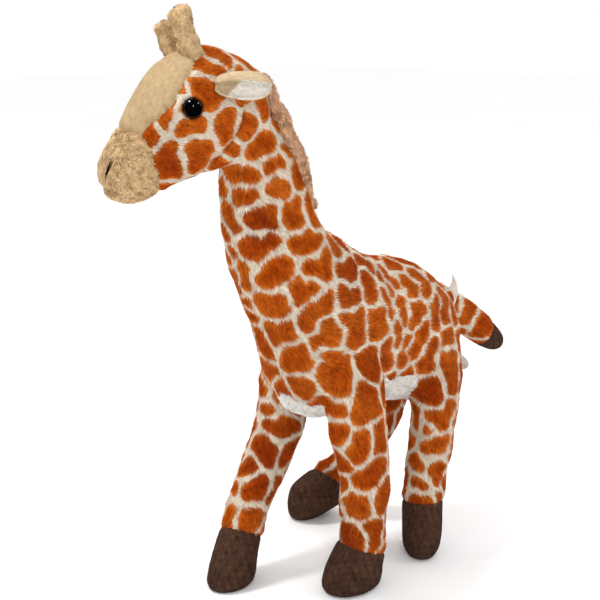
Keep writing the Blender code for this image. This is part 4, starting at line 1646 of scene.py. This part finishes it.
@dataclass
class CoatPiece:
    """One joined mesh of tufts."""

    name: str
    pile: Pile
    roots: Roots
    lie: np.ndarray  # direction in which the tufts lie, one for all of them or one for each
    finish: str
    slot: Slot
    seed: int
    charts: np.ndarray  # place of each root on the flattened skin, from 0 to 1
    size: np.ndarray | float = 1.0  # share of the full length of each tuft
    printed: Callable[[np.ndarray], np.ndarray] | None = None  # measures the print at places
    patch: float = 0.003  # width of a tuft on the flattened skin
    planted: float = 0.25  # how deep a tuft stands in the skin, mm
    least_up: float = 0.0002  # height below which no tuft reaches, in metres

    def build(self) -> None:
        """Grows the tufts and makes their mesh."""
        rng = np.random.default_rng(self.seed)
        count = len(self.roots.points)
        pile = self.pile
        normals = self.roots.normals
        turn = np.radians(pile.swirl) * ripple(self.roots.points, pile.swirl_wave, self.seed + 1)
        turn += np.radians(pile.sway) * rng.normal(size=count)
        lie = turned(along_surface(self.lie, normals), normals, turn)
        length = pile.length * rng.uniform(0.72, 1.18, count) * MM * self.size
        lift = np.radians(pile.lift * rng.uniform(0.6, 1.35, count))
        half = 0.5 * pile.width * rng.uniform(0.75, 1.2, count) * MM
        side = np.cross(normals, lie)
        forward, rise = (length * np.cos(lift))[:, None], (length * np.sin(lift))[:, None]
        bend = pile.curl * length[:, None]
        foot = self.roots.points - normals * self.planted * MM
        tip = foot + lie * (forward - bend * 0.4) + normals * (rise - bend * 0.75)
        tip += side * (rng.normal(size=count) * pile.curl * length)[:, None]
        lock = self.locks(rng)
        tip += (tip[lock] - tip) * (pile.drawn * rng.uniform(0.7, 1.2, count))[:, None]
        rings = [(foot, half)]
        if pile.curl:
            rings.append((foot + lie * forward * 0.52 + normals * rise * 0.66, half * 0.85))
        # Three corners to a ring, whose shading leans to the sides, and the tip.
        corners, shading = [], []
        for middle, wide in rings:
            wide = wide[:, None]
            corners += [middle - side * wide, middle + side * wide, middle + normals * wide * 0.9]
            shading += [normals - side * 0.7, normals + side * 0.7, normals]
        points = np.stack((*corners, tip), axis=1)
        points[..., 2] = np.maximum(points[..., 2], self.least_up)
        shading = unit(np.stack((*shading, normals + lie * 0.35), axis=1))
        # The print is mostly read above the middle of a tuft, and a little at its root.
        net = self.roots.numbers.get("net", np.full(count, PLAIN))
        if self.printed:
            net = 0.3 * net + 0.7 * self.printed(foot + lie * forward * 0.6)
        tint = 0.5 + 0.2 * rng.normal(size=count) + 0.3 * rng.normal(size=count)[lock]
        tint = np.clip(tint + 0.08 * ripple(self.roots.points, 7, 91), 0, 1)
        numbers = {
            "net": net + rng.normal(size=count) * 0.2,
            "tint": tint,
            "tone": tone(self.roots.points),
            # the seam's painted shade, a little weaker in the pile
            "seam": self.roots.numbers.get("seam", np.zeros(count)) * 0.7,
        }
        self.make(points, shading, self.tuft_faces(len(rings)), numbers)

    def locks(self, rng: np.random.Generator) -> np.ndarray:
        """For each tuft, the number of the tuft in the middle of its lock.

        Args:
            rng: source of the random draws.

        Returns:
            One number for each tuft.
        """
        count = len(self.roots.points)
        middles = rng.permutation(count)[: max(1, count // self.pile.lock)]
        tree = KDTree(len(middles))
        for number in middles:
            tree.insert(self.roots.points[number], int(number))
        tree.balance()
        return np.array([tree.find(point)[1] for point in self.roots.points.tolist()])

    @staticmethod
    def tuft_faces(rings: int) -> np.ndarray:
        """Triangles of one tuft, as numbers of its corners.

        Args:
            rings: number of rings that a tuft has.

        Returns:
            A row of three corners for each triangle.
        """
        made = []
        for ring in range(rings - 1):
            low, high = 3 * ring, 3 * ring + 3
            for a, b in ((0, 2), (2, 1), (1, 0)):
                made += [(low + a, low + b, high + b), (low + a, high + b, high + a)]
        last, tip = 3 * (rings - 1), 3 * rings
        made += [(last, last + 2, tip), (last + 2, last + 1, tip), (last + 1, last, tip)]
        return np.array(made)[:, ::-1]

    def make(
        self, points: np.ndarray, shading: np.ndarray, faces: np.ndarray, numbers: dict[str, np.ndarray]
    ) -> None:
        """Joins the tufts into one mesh with its numbers and its map.

        Args:
            points: corners of each tuft.
            shading: shading normals of those corners.
            faces: triangles of one tuft.
            numbers: what the materials read, one of each for each tuft.
        """
        count, each = points.shape[:2]
        corners = (np.arange(count)[:, None, None] * each + faces).astype(np.int32)
        mesh = bpy.data.meshes.new(self.name)
        mesh.vertices.add(count * each)
        mesh.vertices.foreach_set("co", points.astype(np.float32).ravel())
        mesh.loops.add(corners.size)
        mesh.loops.foreach_set("vertex_index", corners.ravel())
        mesh.polygons.add(corners.size // 3)
        mesh.polygons.foreach_set("loop_start", np.arange(0, corners.size, 3, dtype=np.int32))
        mesh.update(calc_edges=True)
        mesh.shade_smooth()
        heights = np.repeat(np.linspace(0, 1, (each + 2) // 3), 3)[:each]
        heights[-1] = 1.0
        shares = {name: np.repeat(values, each) for name, values in numbers.items()}
        # Height up each tuft, which sets the painted shade at its foot.
        shares["tip"] = np.tile(heights, count)
        for name, values in shares.items():
            mesh.attributes.new(name, "FLOAT", "POINT").data.foreach_set("value", values.astype(np.float32))
        places = np.zeros((each, 2))
        places[:, 1] = heights
        places[0::3, 0][:-1] = -0.5
        places[1::3, 0] = 0.5
        places[2::3, 1] += 0.2
        flat = self.charts[:, None] + places * self.patch
        layer = mesh.uv_layers.new(name="OFBake")
        layer.uv.foreach_set("vector", flat[:, faces].astype(np.float32).ravel())
        mesh.normals_split_custom_set_from_vertices(shading.reshape(-1, 3))
        mesh.materials.append(look(self.finish))
        coat = bpy.data.objects.new(self.name, mesh)
        bpy.context.scene.collection.objects.link(coat)
        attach(coat, BODY)


SLOTS = {
    "patched": Slot.PATCHED, "tan": Slot.TAN, "curly": Slot.TAN, "brown": Slot.BROWN, "white": Slot.PATCHED,
}


@dataclass
class Coat:
    """The pile over the stuffed body, one coat piece to a panel."""

    skin: BodySkin
    head: HeadPattern
    markings: Markings
    seed: int = 300

    def lie_of(self, kind: str) -> np.ndarray:
        """The way that the pile of a kind of panel lies.

        Args:
            kind: kind of panel.

        Returns:
            The direction.
        """
        lie = np.array(LIES.get(kind, LIES["body"]))
        if kind in ("head", "face", "muzzle"):
            lie = np.array(Matrix.Rotation(self.head.turn, 3, "Z")) @ lie
        return lie

    def sizes_of(self, roots: Roots) -> np.ndarray:
        """Share of its full length that each tuft has: less in seams and round the eyes.

        Args:
            roots: roots of the tufts.

        Returns:
            One share for each tuft.
        """
        size = 1 - 0.55 * np.clip(roots.numbers["seam"], 0, 1)
        for side in (1, -1):
            centre = np.array(self.head.bead(side))[:3, 3]
            off = np.linalg.norm(roots.points - centre, axis=1) / MM
            size *= 0.6 + 0.4 * ease(off, 5.5, 10)
        return size

    def clear_of_face(self, roots: Roots) -> np.ndarray:
        """Tells which roots are neither under a bead nor in a nostril.

        Args:
            roots: roots of the tufts.

        Returns:
            True for each root that is free.
        """
        free = np.ones(len(roots.points), bool)
        for side in (1, -1):
            bead = np.array(self.head.bead(side).inverted())
            own = roots.points @ bead[:3, :3].T + bead[:3, 3]
            free &= ~((np.hypot(own[:, 1], own[:, 2]) < 1.04) & (np.abs(own[:, 0]) < 1.6))
            free &= distance_to(roots.points, np.array(self.head.slit(side, 4)), 6) > 1.5 * MM
        return free

    def build(self) -> None:
        """Makes the coat pieces of all the panels."""
        surface = self.skin.surface
        for i, panel in enumerate(sorted(set(self.skin.panel))):
            kind = panel.split("_")[0]
            pile = PILES["hoof"] if panel == "tail_tip" else PILES.get(kind, PILES["body"])
            mine = self.skin.panel == panel
            triangles = surface.triangles[mine[surface.triangles].any(axis=1)]
            roots = Roots.scatter(surface, triangles, pile.density, self.seed + i)
            roots = roots.keep(mine[roots.nearest(surface.numbers["border"])])
            roots = roots.keep(self.clear_of_face(roots) & (roots.points[:, 2] > 0.7 * MM))
            finish = str(self.skin.zone[mine][0])
            CoatPiece(
                f"coat_{panel}", pile, roots, self.lie_of(kind), finish, SLOTS[finish],
                self.seed + 50 + i, self.charts(roots), self.sizes_of(roots),
                self.markings.measure if finish == "patched" else None,
            ).build()
            log.info("%s covered with %d tufts", panel, len(roots.points))

    @staticmethod
    def charts(roots: Roots) -> np.ndarray:
        """Places of roots on a panel cut open along its back and laid flat."""
        along = roots.numbers["along"]
        return flat_places(roots, (along.min(), along.max()), (-math.pi, math.pi))


def flat_places(roots: Roots, along: Numbers, around: Numbers) -> np.ndarray:
    """Places of roots on a skin laid flat, from 0 to 1.

    Args:
        roots: the roots.
        along: least and greatest distance along the skin.
        around: least and greatest angle round it.

    Returns:
        Two numbers for each root.
    """
    made = []
    for name, (low, high) in (("along", along), ("around", around)):
        made.append(0.02 + 0.95 * (roots.numbers[name] - low) / max(high - low, 1e-6))
    return np.stack(made, axis=1)


# ---- pieces sewn on


def sew_on(obj: bpy.types.Object, finish: str, slot: Slot, *nodes: str) -> None:
    """Finishes a piece and rides it on the toy.

    Args:
        obj: the piece.
        finish: its finish, where it has no materials yet.
        slot: the record's slot; not used.
        nodes: the CAD nodes that it stands for.
    """
    obj.data.shade_smooth()
    if not obj.data.materials:
        obj.data.materials.append(look(finish))
    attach(obj, BODY)
    if nodes:
        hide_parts(*nodes)


@dataclass
class Eyes:
    """Two glossy beads."""

    head: HeadPattern
    segments: int = 48

    def build(self) -> None:
        """Makes both beads."""
        for name, side in (("eye_left", 1), ("eye_right", -1)):
            bead = mesh_object(
                f"bead_{name}",
                lambda form: bmesh.ops.create_uvsphere(
                    form, u_segments=self.segments, v_segments=self.segments // 2, radius=1.0,
                    matrix=self.head.bead(side),
                ),
            )
            sew_on(bead, "bead", Slot.BEAD, name)


def dress_small(surface: Surface, node: str, finish: str, slot: Slot) -> None:
    """Finishes the skin of a small sewn-on piece.

    Args:
        surface: its surface.
        node: the CAD node that it stands for.
        finish: its finish.
        slot: the record's slot.
    """
    surface.obj.name = f"skin_{node}"
    plain = {"net": PLAIN, "seam": 0.0, "tip": SKIN_TIP, "tint": 0.5}
    for number, value in plain.items():
        surface.numbers.setdefault(number, np.full(len(surface.points), value))
    surface.write(*plain)
    sew_on(surface.obj, finish, slot, node)


@dataclass(frozen=True)
class Horn:
    """A short stuffed horn: foot and top in the head's frame, half width at foot and top."""

    name: str
    foot: tuple
    top: tuple
    low: float
    middle: float
    high: float
    bow: float  # how far its middle bends forward
    seed: int

    def form(self, head: HeadPattern) -> Form:
        """Lofts the horn with a rounded, slightly knobbed top.

        Args:
            head: pattern of the head.

        Returns:
            The form.
        """
        start, end = head.put(*self.foot), head.put(*self.top)
        heading = (end - start).normalized()
        side = heading.cross(Vector((0, 1, 0))).normalized()
        rows = (
            (-0.16, self.low * 1.1), (0, self.low), (0.45, self.middle), (0.75, self.high),
            (0.88, self.high * 0.97), (0.96, self.high * 0.76), (1.0, self.high * 0.4),
        )
        hoops = []
        for share, half in smooth_through(rows):
            half = (half - 0.7) * MM
            middle = start.lerp(end, share - 0.03 * share)
            middle += head.matrix().to_3x3() @ way(0, self.bow * 4 * share * (1 - share), 0)
            hoops.append(Hoop.of(middle, side * half, heading.cross(side) * half))
        return Form(self.name, hoops)

    def build(self, head: HeadPattern) -> None:
        """Makes the horn and its curly pile.

        Args:
            head: pattern of the head.
        """
        form = self.form(head)
        obj = mesh_object(self.name, form.add_to)
        refine(obj, 0.8, 3)
        surface = Surface(obj)
        lumps = 0.3 * ripple(surface.points, 5, self.seed) * MM
        surface.move(surface.points + surface.normals * lumps[:, None])
        found = form.locate(surface.points)
        surface.numbers.update(along=found[:, 0], around=found[:, 1])
        # Painted shade round the horn's foot, where it meets the head.
        surface.numbers["seam"] = 0.5 * bell(found[:, 0], 3.5)
        roots = Roots.scatter(surface, surface.triangles, PILES["horn"].density, self.seed)
        lie = np.array(head.put(*self.top) - head.put(*self.foot))
        CoatPiece(
            f"coat_{self.name}", PILES["horn"], roots, lie, "horn", Slot.TAN, self.seed + 7,
            Coat.charts(roots),
        ).build()
        dress_small(surface, self.name, "horn", Slot.TAN)


@dataclass(frozen=True)
class Ear:
    """A cupped ear in the head's frame, on its left, its upper lip turned down; the right mirrors it."""

    name: str
    side: int  # 1 for the left ear and -1 for the right
    head: HeadPattern
    root: tuple = (21.2, -10.5, 9.9)
    tip: tuple = (30.6, -34.2, 9.2)
    half_height: float = 6.6
    depth: float = 4.6
    wall: float = 1.9
    lips: tuple = (-108, 158)  # where the wall begins and ends, in degrees up from straight behind
    widths: tuple = (
        (0, 0.42), (0.07, 0.66), (0.2, 0.86), (0.4, 1.0), (0.62, 1.04),
        (0.8, 0.94), (0.92, 0.7), (0.98, 0.4), (1.0, 0.18),
    )

    def axes(self) -> tuple[Vector, Vector, Vector, Vector]:
        """Root, tip, the way the ear opens, and the way up.

        Returns:
            Both points and both directions.
        """
        root, tip = (self.head.put(left * self.side, *rest) for left, *rest in (self.root, self.tip))
        heading = (tip - root).normalized()
        opens = (heading.cross(Vector((0, 0, 1))) * self.side).normalized()
        return root, tip, opens, opens.cross(heading) * self.side

    def rings(self) -> list[list[Vector]]:
        """Rings of the bent wall along the ear, drawn in under the pile.

        Returns:
            The rings, from the root to the tip.
        """
        root, tip, opens, up = self.axes()
        made = []
        for share, width in smooth_through(self.widths, 3):
            middle = root.lerp(tip, share * 0.985)
            outer, inner = [], []
            for turn in np.radians(np.linspace(*self.lips, 19)):
                for arc, drawn in ((outer, 0.45), (inner, self.wall - 0.35)):
                    high = max(self.half_height * width - drawn, 0.35 / (1 + drawn))
                    deep = max(self.depth * (0.4 + 0.6 * width) - drawn, 0.3 / (1 + drawn))
                    behind, above = math.cos(turn) * deep * MM, math.sin(turn) * high * MM
                    arc.append(middle - opens * behind + up * above)
            made.append(outer + list(reversed(inner)))
        return made

    def build(self) -> None:
        """Makes the ear with its two kinds of pile."""
        rings = self.rings()
        obj = mesh_object(self.name, lambda form: loft_rings(form, rings))
        refine(obj, 0.7, 2)
        surface = Surface(obj)
        root, tip, opens, up = self.axes()
        away = surface.points - np.array(root)
        heading = np.array((tip - root).normalized())
        along = away @ heading / MM
        high, deep = away @ np.array(up) / MM, away @ np.array(opens) / MM
        inward = -np.array(up) * high[:, None] - np.array(opens) * (deep - 1.0)[:, None]
        white = (np.sum(unit(inward) * surface.normals, axis=1) > 0.1) & (along > 10 + 0.9 * high)
        sideways = np.arctan2(high, -deep)
        surface.numbers.update(along=along, around=sideways)
        spans = [(values.min(), values.max()) for values in (along, sideways)]
        seed = 700 + self.side
        parts = (("inside", white, "ear_inside", "lining"), ("outside", ~white, "ear", "ear"))
        for part, mask, kind, finish in parts:
            triangles = surface.triangles[mask[surface.triangles[:, 0]]]
            roots = Roots.scatter(surface, triangles, PILES[kind].density, seed)
            CoatPiece(
                f"coat_{self.name}_{part}", PILES[kind], roots, heading, finish, Slot.TAN, seed + 9,
                flat_places(roots, *spans),
            ).build()
        obj.data.materials.append(look("ear"))
        obj.data.materials.append(look("lining"))
        for face in obj.data.polygons:
            face.material_index = int(white[face.vertices[0]])
        dress_small(surface, self.name, "ear", Slot.TAN)


def loft_rings(form: bmesh.types.BMesh, rings: Sequence[Sequence[Vector]]) -> None:
    """Joins rings of equally many points into one closed tube.

    Args:
        form: the mesh under construction.
        rings: the rings, in order.
    """
    made = []
    for ring in rings:
        verts = bmesh.ops.create_circle(form, cap_ends=False, segments=len(ring), radius=1.0)["verts"]
        for vert, point in zip(verts, ring):
            vert.co = point
        made.append(verts)
    close_tube(form, made)


@dataclass(frozen=True)
class Mane:
    """A low ridge of longer pile down the nape, whose feet follow the skin."""

    # Its path, as (left, forward, up) in the toy's frame, beside the skin that it stands on.
    path: tuple = (
        (4.5, 47.5, 272), (9.4, 44.2, 264.5), (12.6, 42, 257), (12.4, 37.8, 250), (12.5, 33.6, 241),
        (12, 29, 231), (10.5, 25.6, 220.5), (9.2, 22.2, 212), (7.6, 19.2, 206), (6.4, 16.1, 201.5),
    )
    half_width: float = 3.3
    height: float = 2.9
    # Share of its full size that it has, by share of its length.
    bulk: tuple = (
        (0, 0.3), (0.1, 0.85), (0.3, 1.2), (0.45, 1.15), (0.65, 0.85), (0.84, 0.4), (0.94, 0.6), (1.0, 0.35),
    )
    seed: int = 820

    def build(self, skin: BodySkin) -> None:
        """Makes the ridge and its pile.

        Args:
            skin: the skin that the mane stands on.
        """
        tree = skin.surface.tree()
        feet = [tuple(tree.find_nearest(place(*row))[0]) for row in self.path]
        rows = [Vector(row) for row in smooth_through(feet, 4)]
        shares, sizes = np.array(self.bulk).T
        rings, headings, outs = [], [], []
        for i, point in enumerate(rows):
            heading = heading_at(rows, i)
            near, normal, _, _ = tree.find_nearest(point)
            out = square_to(heading, normal)
            side = heading.cross(out)
            full = float(np.interp(i / (len(rows) - 1), shares, sizes))
            ring = []
            for step in range(9):
                turn = math.pi * step / 8
                lift = math.sin(turn) ** 0.7 * self.height * full
                ring.append(near + side * math.cos(turn) * self.half_width * full * MM + out * lift * MM)
            ring.append(near - side * self.half_width * full * 0.6 * MM - out * 2.0 * MM)
            ring.append(near + side * self.half_width * full * 0.6 * MM - out * 2.0 * MM)
            rings.append(ring)
            headings.append(heading)
            outs.append(out)
        obj = mesh_object("mane_ridge", lambda form: loft_rings(form, rings))
        refine(obj, 0.8, 2)
        surface = Surface(obj)
        path = np.array(rows)
        nearest = np.argmin(squares(surface.points, path), axis=1)
        surface.numbers["along"] = nearest.astype(float)
        away = surface.points - path[nearest]
        surface.numbers["around"] = away[:, 0] / np.abs(away[:, 0]).max() * math.pi
        roots = Roots.scatter(surface, surface.triangles, PILES["mane"].density, self.seed)
        at = np.round(roots.numbers["along"]).astype(int)
        # No tufts grow from its foot or from the cut face at its start.
        standing = (np.sum(roots.normals * np.array(outs)[at], axis=1) > -0.2) & (at > 1)
        roots = roots.keep(standing)
        lie = np.array(headings)[at[standing]] + 0.25 * roots.normals
        CoatPiece(
            "coat_mane", PILES["mane"], roots, lie, "mane", Slot.MANE, self.seed + 5, Coat.charts(roots)
        ).build()
        dress_small(surface, "mane", "mane", Slot.MANE)


@dataclass(frozen=True)
class Label:
    """A blank satin label that is sewn into a seam at one end."""

    name: str
    path: tuple
    half_width: float
    lies: tuple
    pointed: bool = False
    thickness: float = 0.35

    def build(self) -> None:
        """Makes the curled ribbon."""
        rows = [place(*row) for row in smooth_through(self.path, 6)]
        way_of_width = way(*self.lies).normalized()

        def fill(form: bmesh.types.BMesh) -> None:
            """Bends a flat grid along the path.

            Args:
                form: the mesh.
            """
            made = bmesh.ops.create_grid(form, x_segments=10, y_segments=len(rows) - 1, size=1.0)
            for vert in made["verts"]:
                u = vert.co.x
                i = round((vert.co.y + 1) / 2 * (len(rows) - 1))
                heading = heading_at(rows, i)
                across = square_to(heading, way_of_width)
                out = heading.cross(across)
                share = i / (len(rows) - 1)
                narrow = self.narrowing(share)
                wave = 0.5 * math.sin(3.1 * u + 4 * share) * share
                lag = -0.9 * u * u * share if self.pointed else 0.0
                vert.co = rows[i] + across * u * self.half_width * narrow * MM
                vert.co += out * wave * MM + heading * lag * MM

        label = mesh_object(f"satin_{self.name}", fill)
        wall = label.modifiers.new("wall", "SOLIDIFY")
        wall.thickness = self.thickness * MM
        wall.offset = 0.0
        bake(label)
        sew_on(label, "satin", Slot.SATIN, self.name)

    def narrowing(self, share: float) -> float:
        """Share of its full width that the ribbon has, at a share of its length.

        Args:
            share: the share of its length.

        Returns:
            The share of its width.
        """
        if self.pointed:
            return max(0.1, min(1.0, 1.02 - share) ** 0.85)
        return max(0.2, math.sqrt(max(0.0, 1 - max(0.0, (share - 0.7) / 0.3) ** 2)))


@dataclass(frozen=True)
class Nostrils:
    """A dark slit in each side of the muzzle's front."""

    half_width: float = 0.5

    def build(self, head: HeadPattern, skin: BodySkin) -> None:
        """Makes a flat dark spindle in each slit.

        Args:
            head: pattern of the head.
            skin: the skin that the slits are pressed into.
        """
        tree = skin.surface.tree()
        for name, side in (("left", 1), ("right", -1)):
            found = [tree.find_nearest(point) for point in head.slit(side, 8)]
            places = [near for near, *_ in found]
            hoops = []
            for i, (point, out, *_) in enumerate(found):
                heading = heading_at(places, i)
                out = square_to(heading, out)
                wide = max(0.12, math.sin(math.pi * i / (len(places) - 1)) ** 0.7) * self.half_width * MM
                hoops.append(Hoop.of(point + out * 0.75 * MM, out * wide * 0.5, heading.cross(out) * wide))
            slit = mesh_object(f"nostril_{name}", Form("slit", hoops).add_to)
            sew_on(slit, "bead", Slot.BEAD)


HORNS = (
    Horn("horn_left", (5.8, -4.6, 23), (7.3, 1.3, 44), 6, 5.4, 5.6, 0.8, 640),
    Horn("horn_right", (-10.2, -3.2, 20.5), (-12, 4.9, 37.0), 5.6, 6.2, 4.8, 0.3, 660),
)
LABELS = (
    Label(
        "label_upper",
        ((5, -97.5, 131), (6.2, -101.5, 136.5), (7, -103.9, 141.5), (6.8, -104.8, 146), (5.4, -104.6, 150.2)),
        6.0, (0.95, -0.12, 0.0), pointed=True,
    ),
    Label(
        "label_lower",
        ((2.5, -101.5, 107), (4, -105.3, 103.6), (5.2, -109.4, 100), (6, -112.8, 95.8), (6.4, -115.4, 91.2)),
        7.0, (1.0, -0.15, 0.0),
    ),
)


# ---- studio


@dataclass(frozen=True)
class Studio:
    """Plain pale floor, soft light and the camera."""

    aim: tuple = (-0.0022945, -0.0170656, 0.15)
    camera_at: tuple = (0.4219695, -0.4413296, 0.30)
    lens: float = 70.8
    # Lamps: where each hangs, its width, and its power in watts.
    boxes: tuple = (
        ((-0.28, -0.46, 1.25), 0.22, 7.5),
        ((0.60, 0.45, 0.95), 0.12, 1.2),
        ((0.86, -0.66, 0.70), 0.10, 2.2),
    )

    def build(self) -> None:
        """Sets up floor, lights, surroundings and camera."""
        scene = bpy.context.scene
        floor = mesh_object(
            "floor", lambda form: bmesh.ops.create_grid(form, x_segments=8, y_segments=8, size=4.0)
        )
        floor.data.transform(Matrix.Translation((0, 0, -0.0003)))
        floor.data.materials.append(look("floor"))
        floor.visible_glossy = False
        for i, (at, width, power) in enumerate(self.boxes):
            lamp = bpy.data.lights.new(f"soft_box_{i}", "AREA")
            lamp.shape = "DISK"
            lamp.size = width
            lamp.energy = power
            self.hang(lamp, at)
        world = bpy.data.worlds.new("surroundings")
        world.use_nodes = True
        sky = world.node_tree.nodes["Background"]
        sky.inputs["Color"].default_value = (1.0, 1.0, 1.0, 1.0)
        sky.inputs["Strength"].default_value = 1.0
        world.cycles_visibility.glossy = False
        scene.world = world
        scene.view_settings.view_transform = "Standard"
        lens = bpy.data.cameras.new("camera")
        lens.sensor_width = 36.0
        lens.lens = self.lens
        scene.camera = self.hang(lens, self.camera_at)

    def hang(self, lamp: bpy.types.ID, at: Numbers) -> bpy.types.Object:
        """Hangs a lamp or a camera at a place, turned to the toy.

        Args:
            lamp: data of the lamp or the camera.
            at: place, in metres.

        Returns:
            Its object.
        """
        obj = bpy.data.objects.new(lamp.name, lamp)
        obj.location = at
        obj.rotation_euler = (Vector(self.aim) - Vector(at)).to_track_quat("-Z", "Y").to_euler()
        bpy.context.scene.collection.objects.link(obj)
        return obj


def main() -> None:
    """Builds the toy's looks in order, and reports each piece."""
    logging.basicConfig(level=logging.INFO, format="%(message)s")
    Studio().build()
    log.info("studio set")

    head = HeadPattern()
    skin = BodySkin(TrunkPattern(), head, TailPattern(), LEGS)
    skin.build()
    log.info("skin shaped: %d points", len(skin.surface.points))
    markings = Markings()
    markings.place_patches(skin)
    skin.surface.numbers["net"] = markings.measure(skin.surface.points)
    skin.dress()
    log.info("patches printed: %d", markings.patch[-1] + 1)
    Coat(skin, head, markings).build()
    Eyes(head).build()
    Nostrils().build(head, skin)
    for horn in HORNS:
        horn.build(head)
        log.info("%s sewn on", horn.name)
    for ear in (Ear("ear_left", 1, head), Ear("ear_right", -1, head)):
        ear.build()
        log.info("%s sewn on", ear.name)
    Mane().build(skin)
    log.info("mane sewn on")
    for label in LABELS:
        label.build()
        log.info("%s sewn in", label.name)


if __name__ == "__main__":
    main()
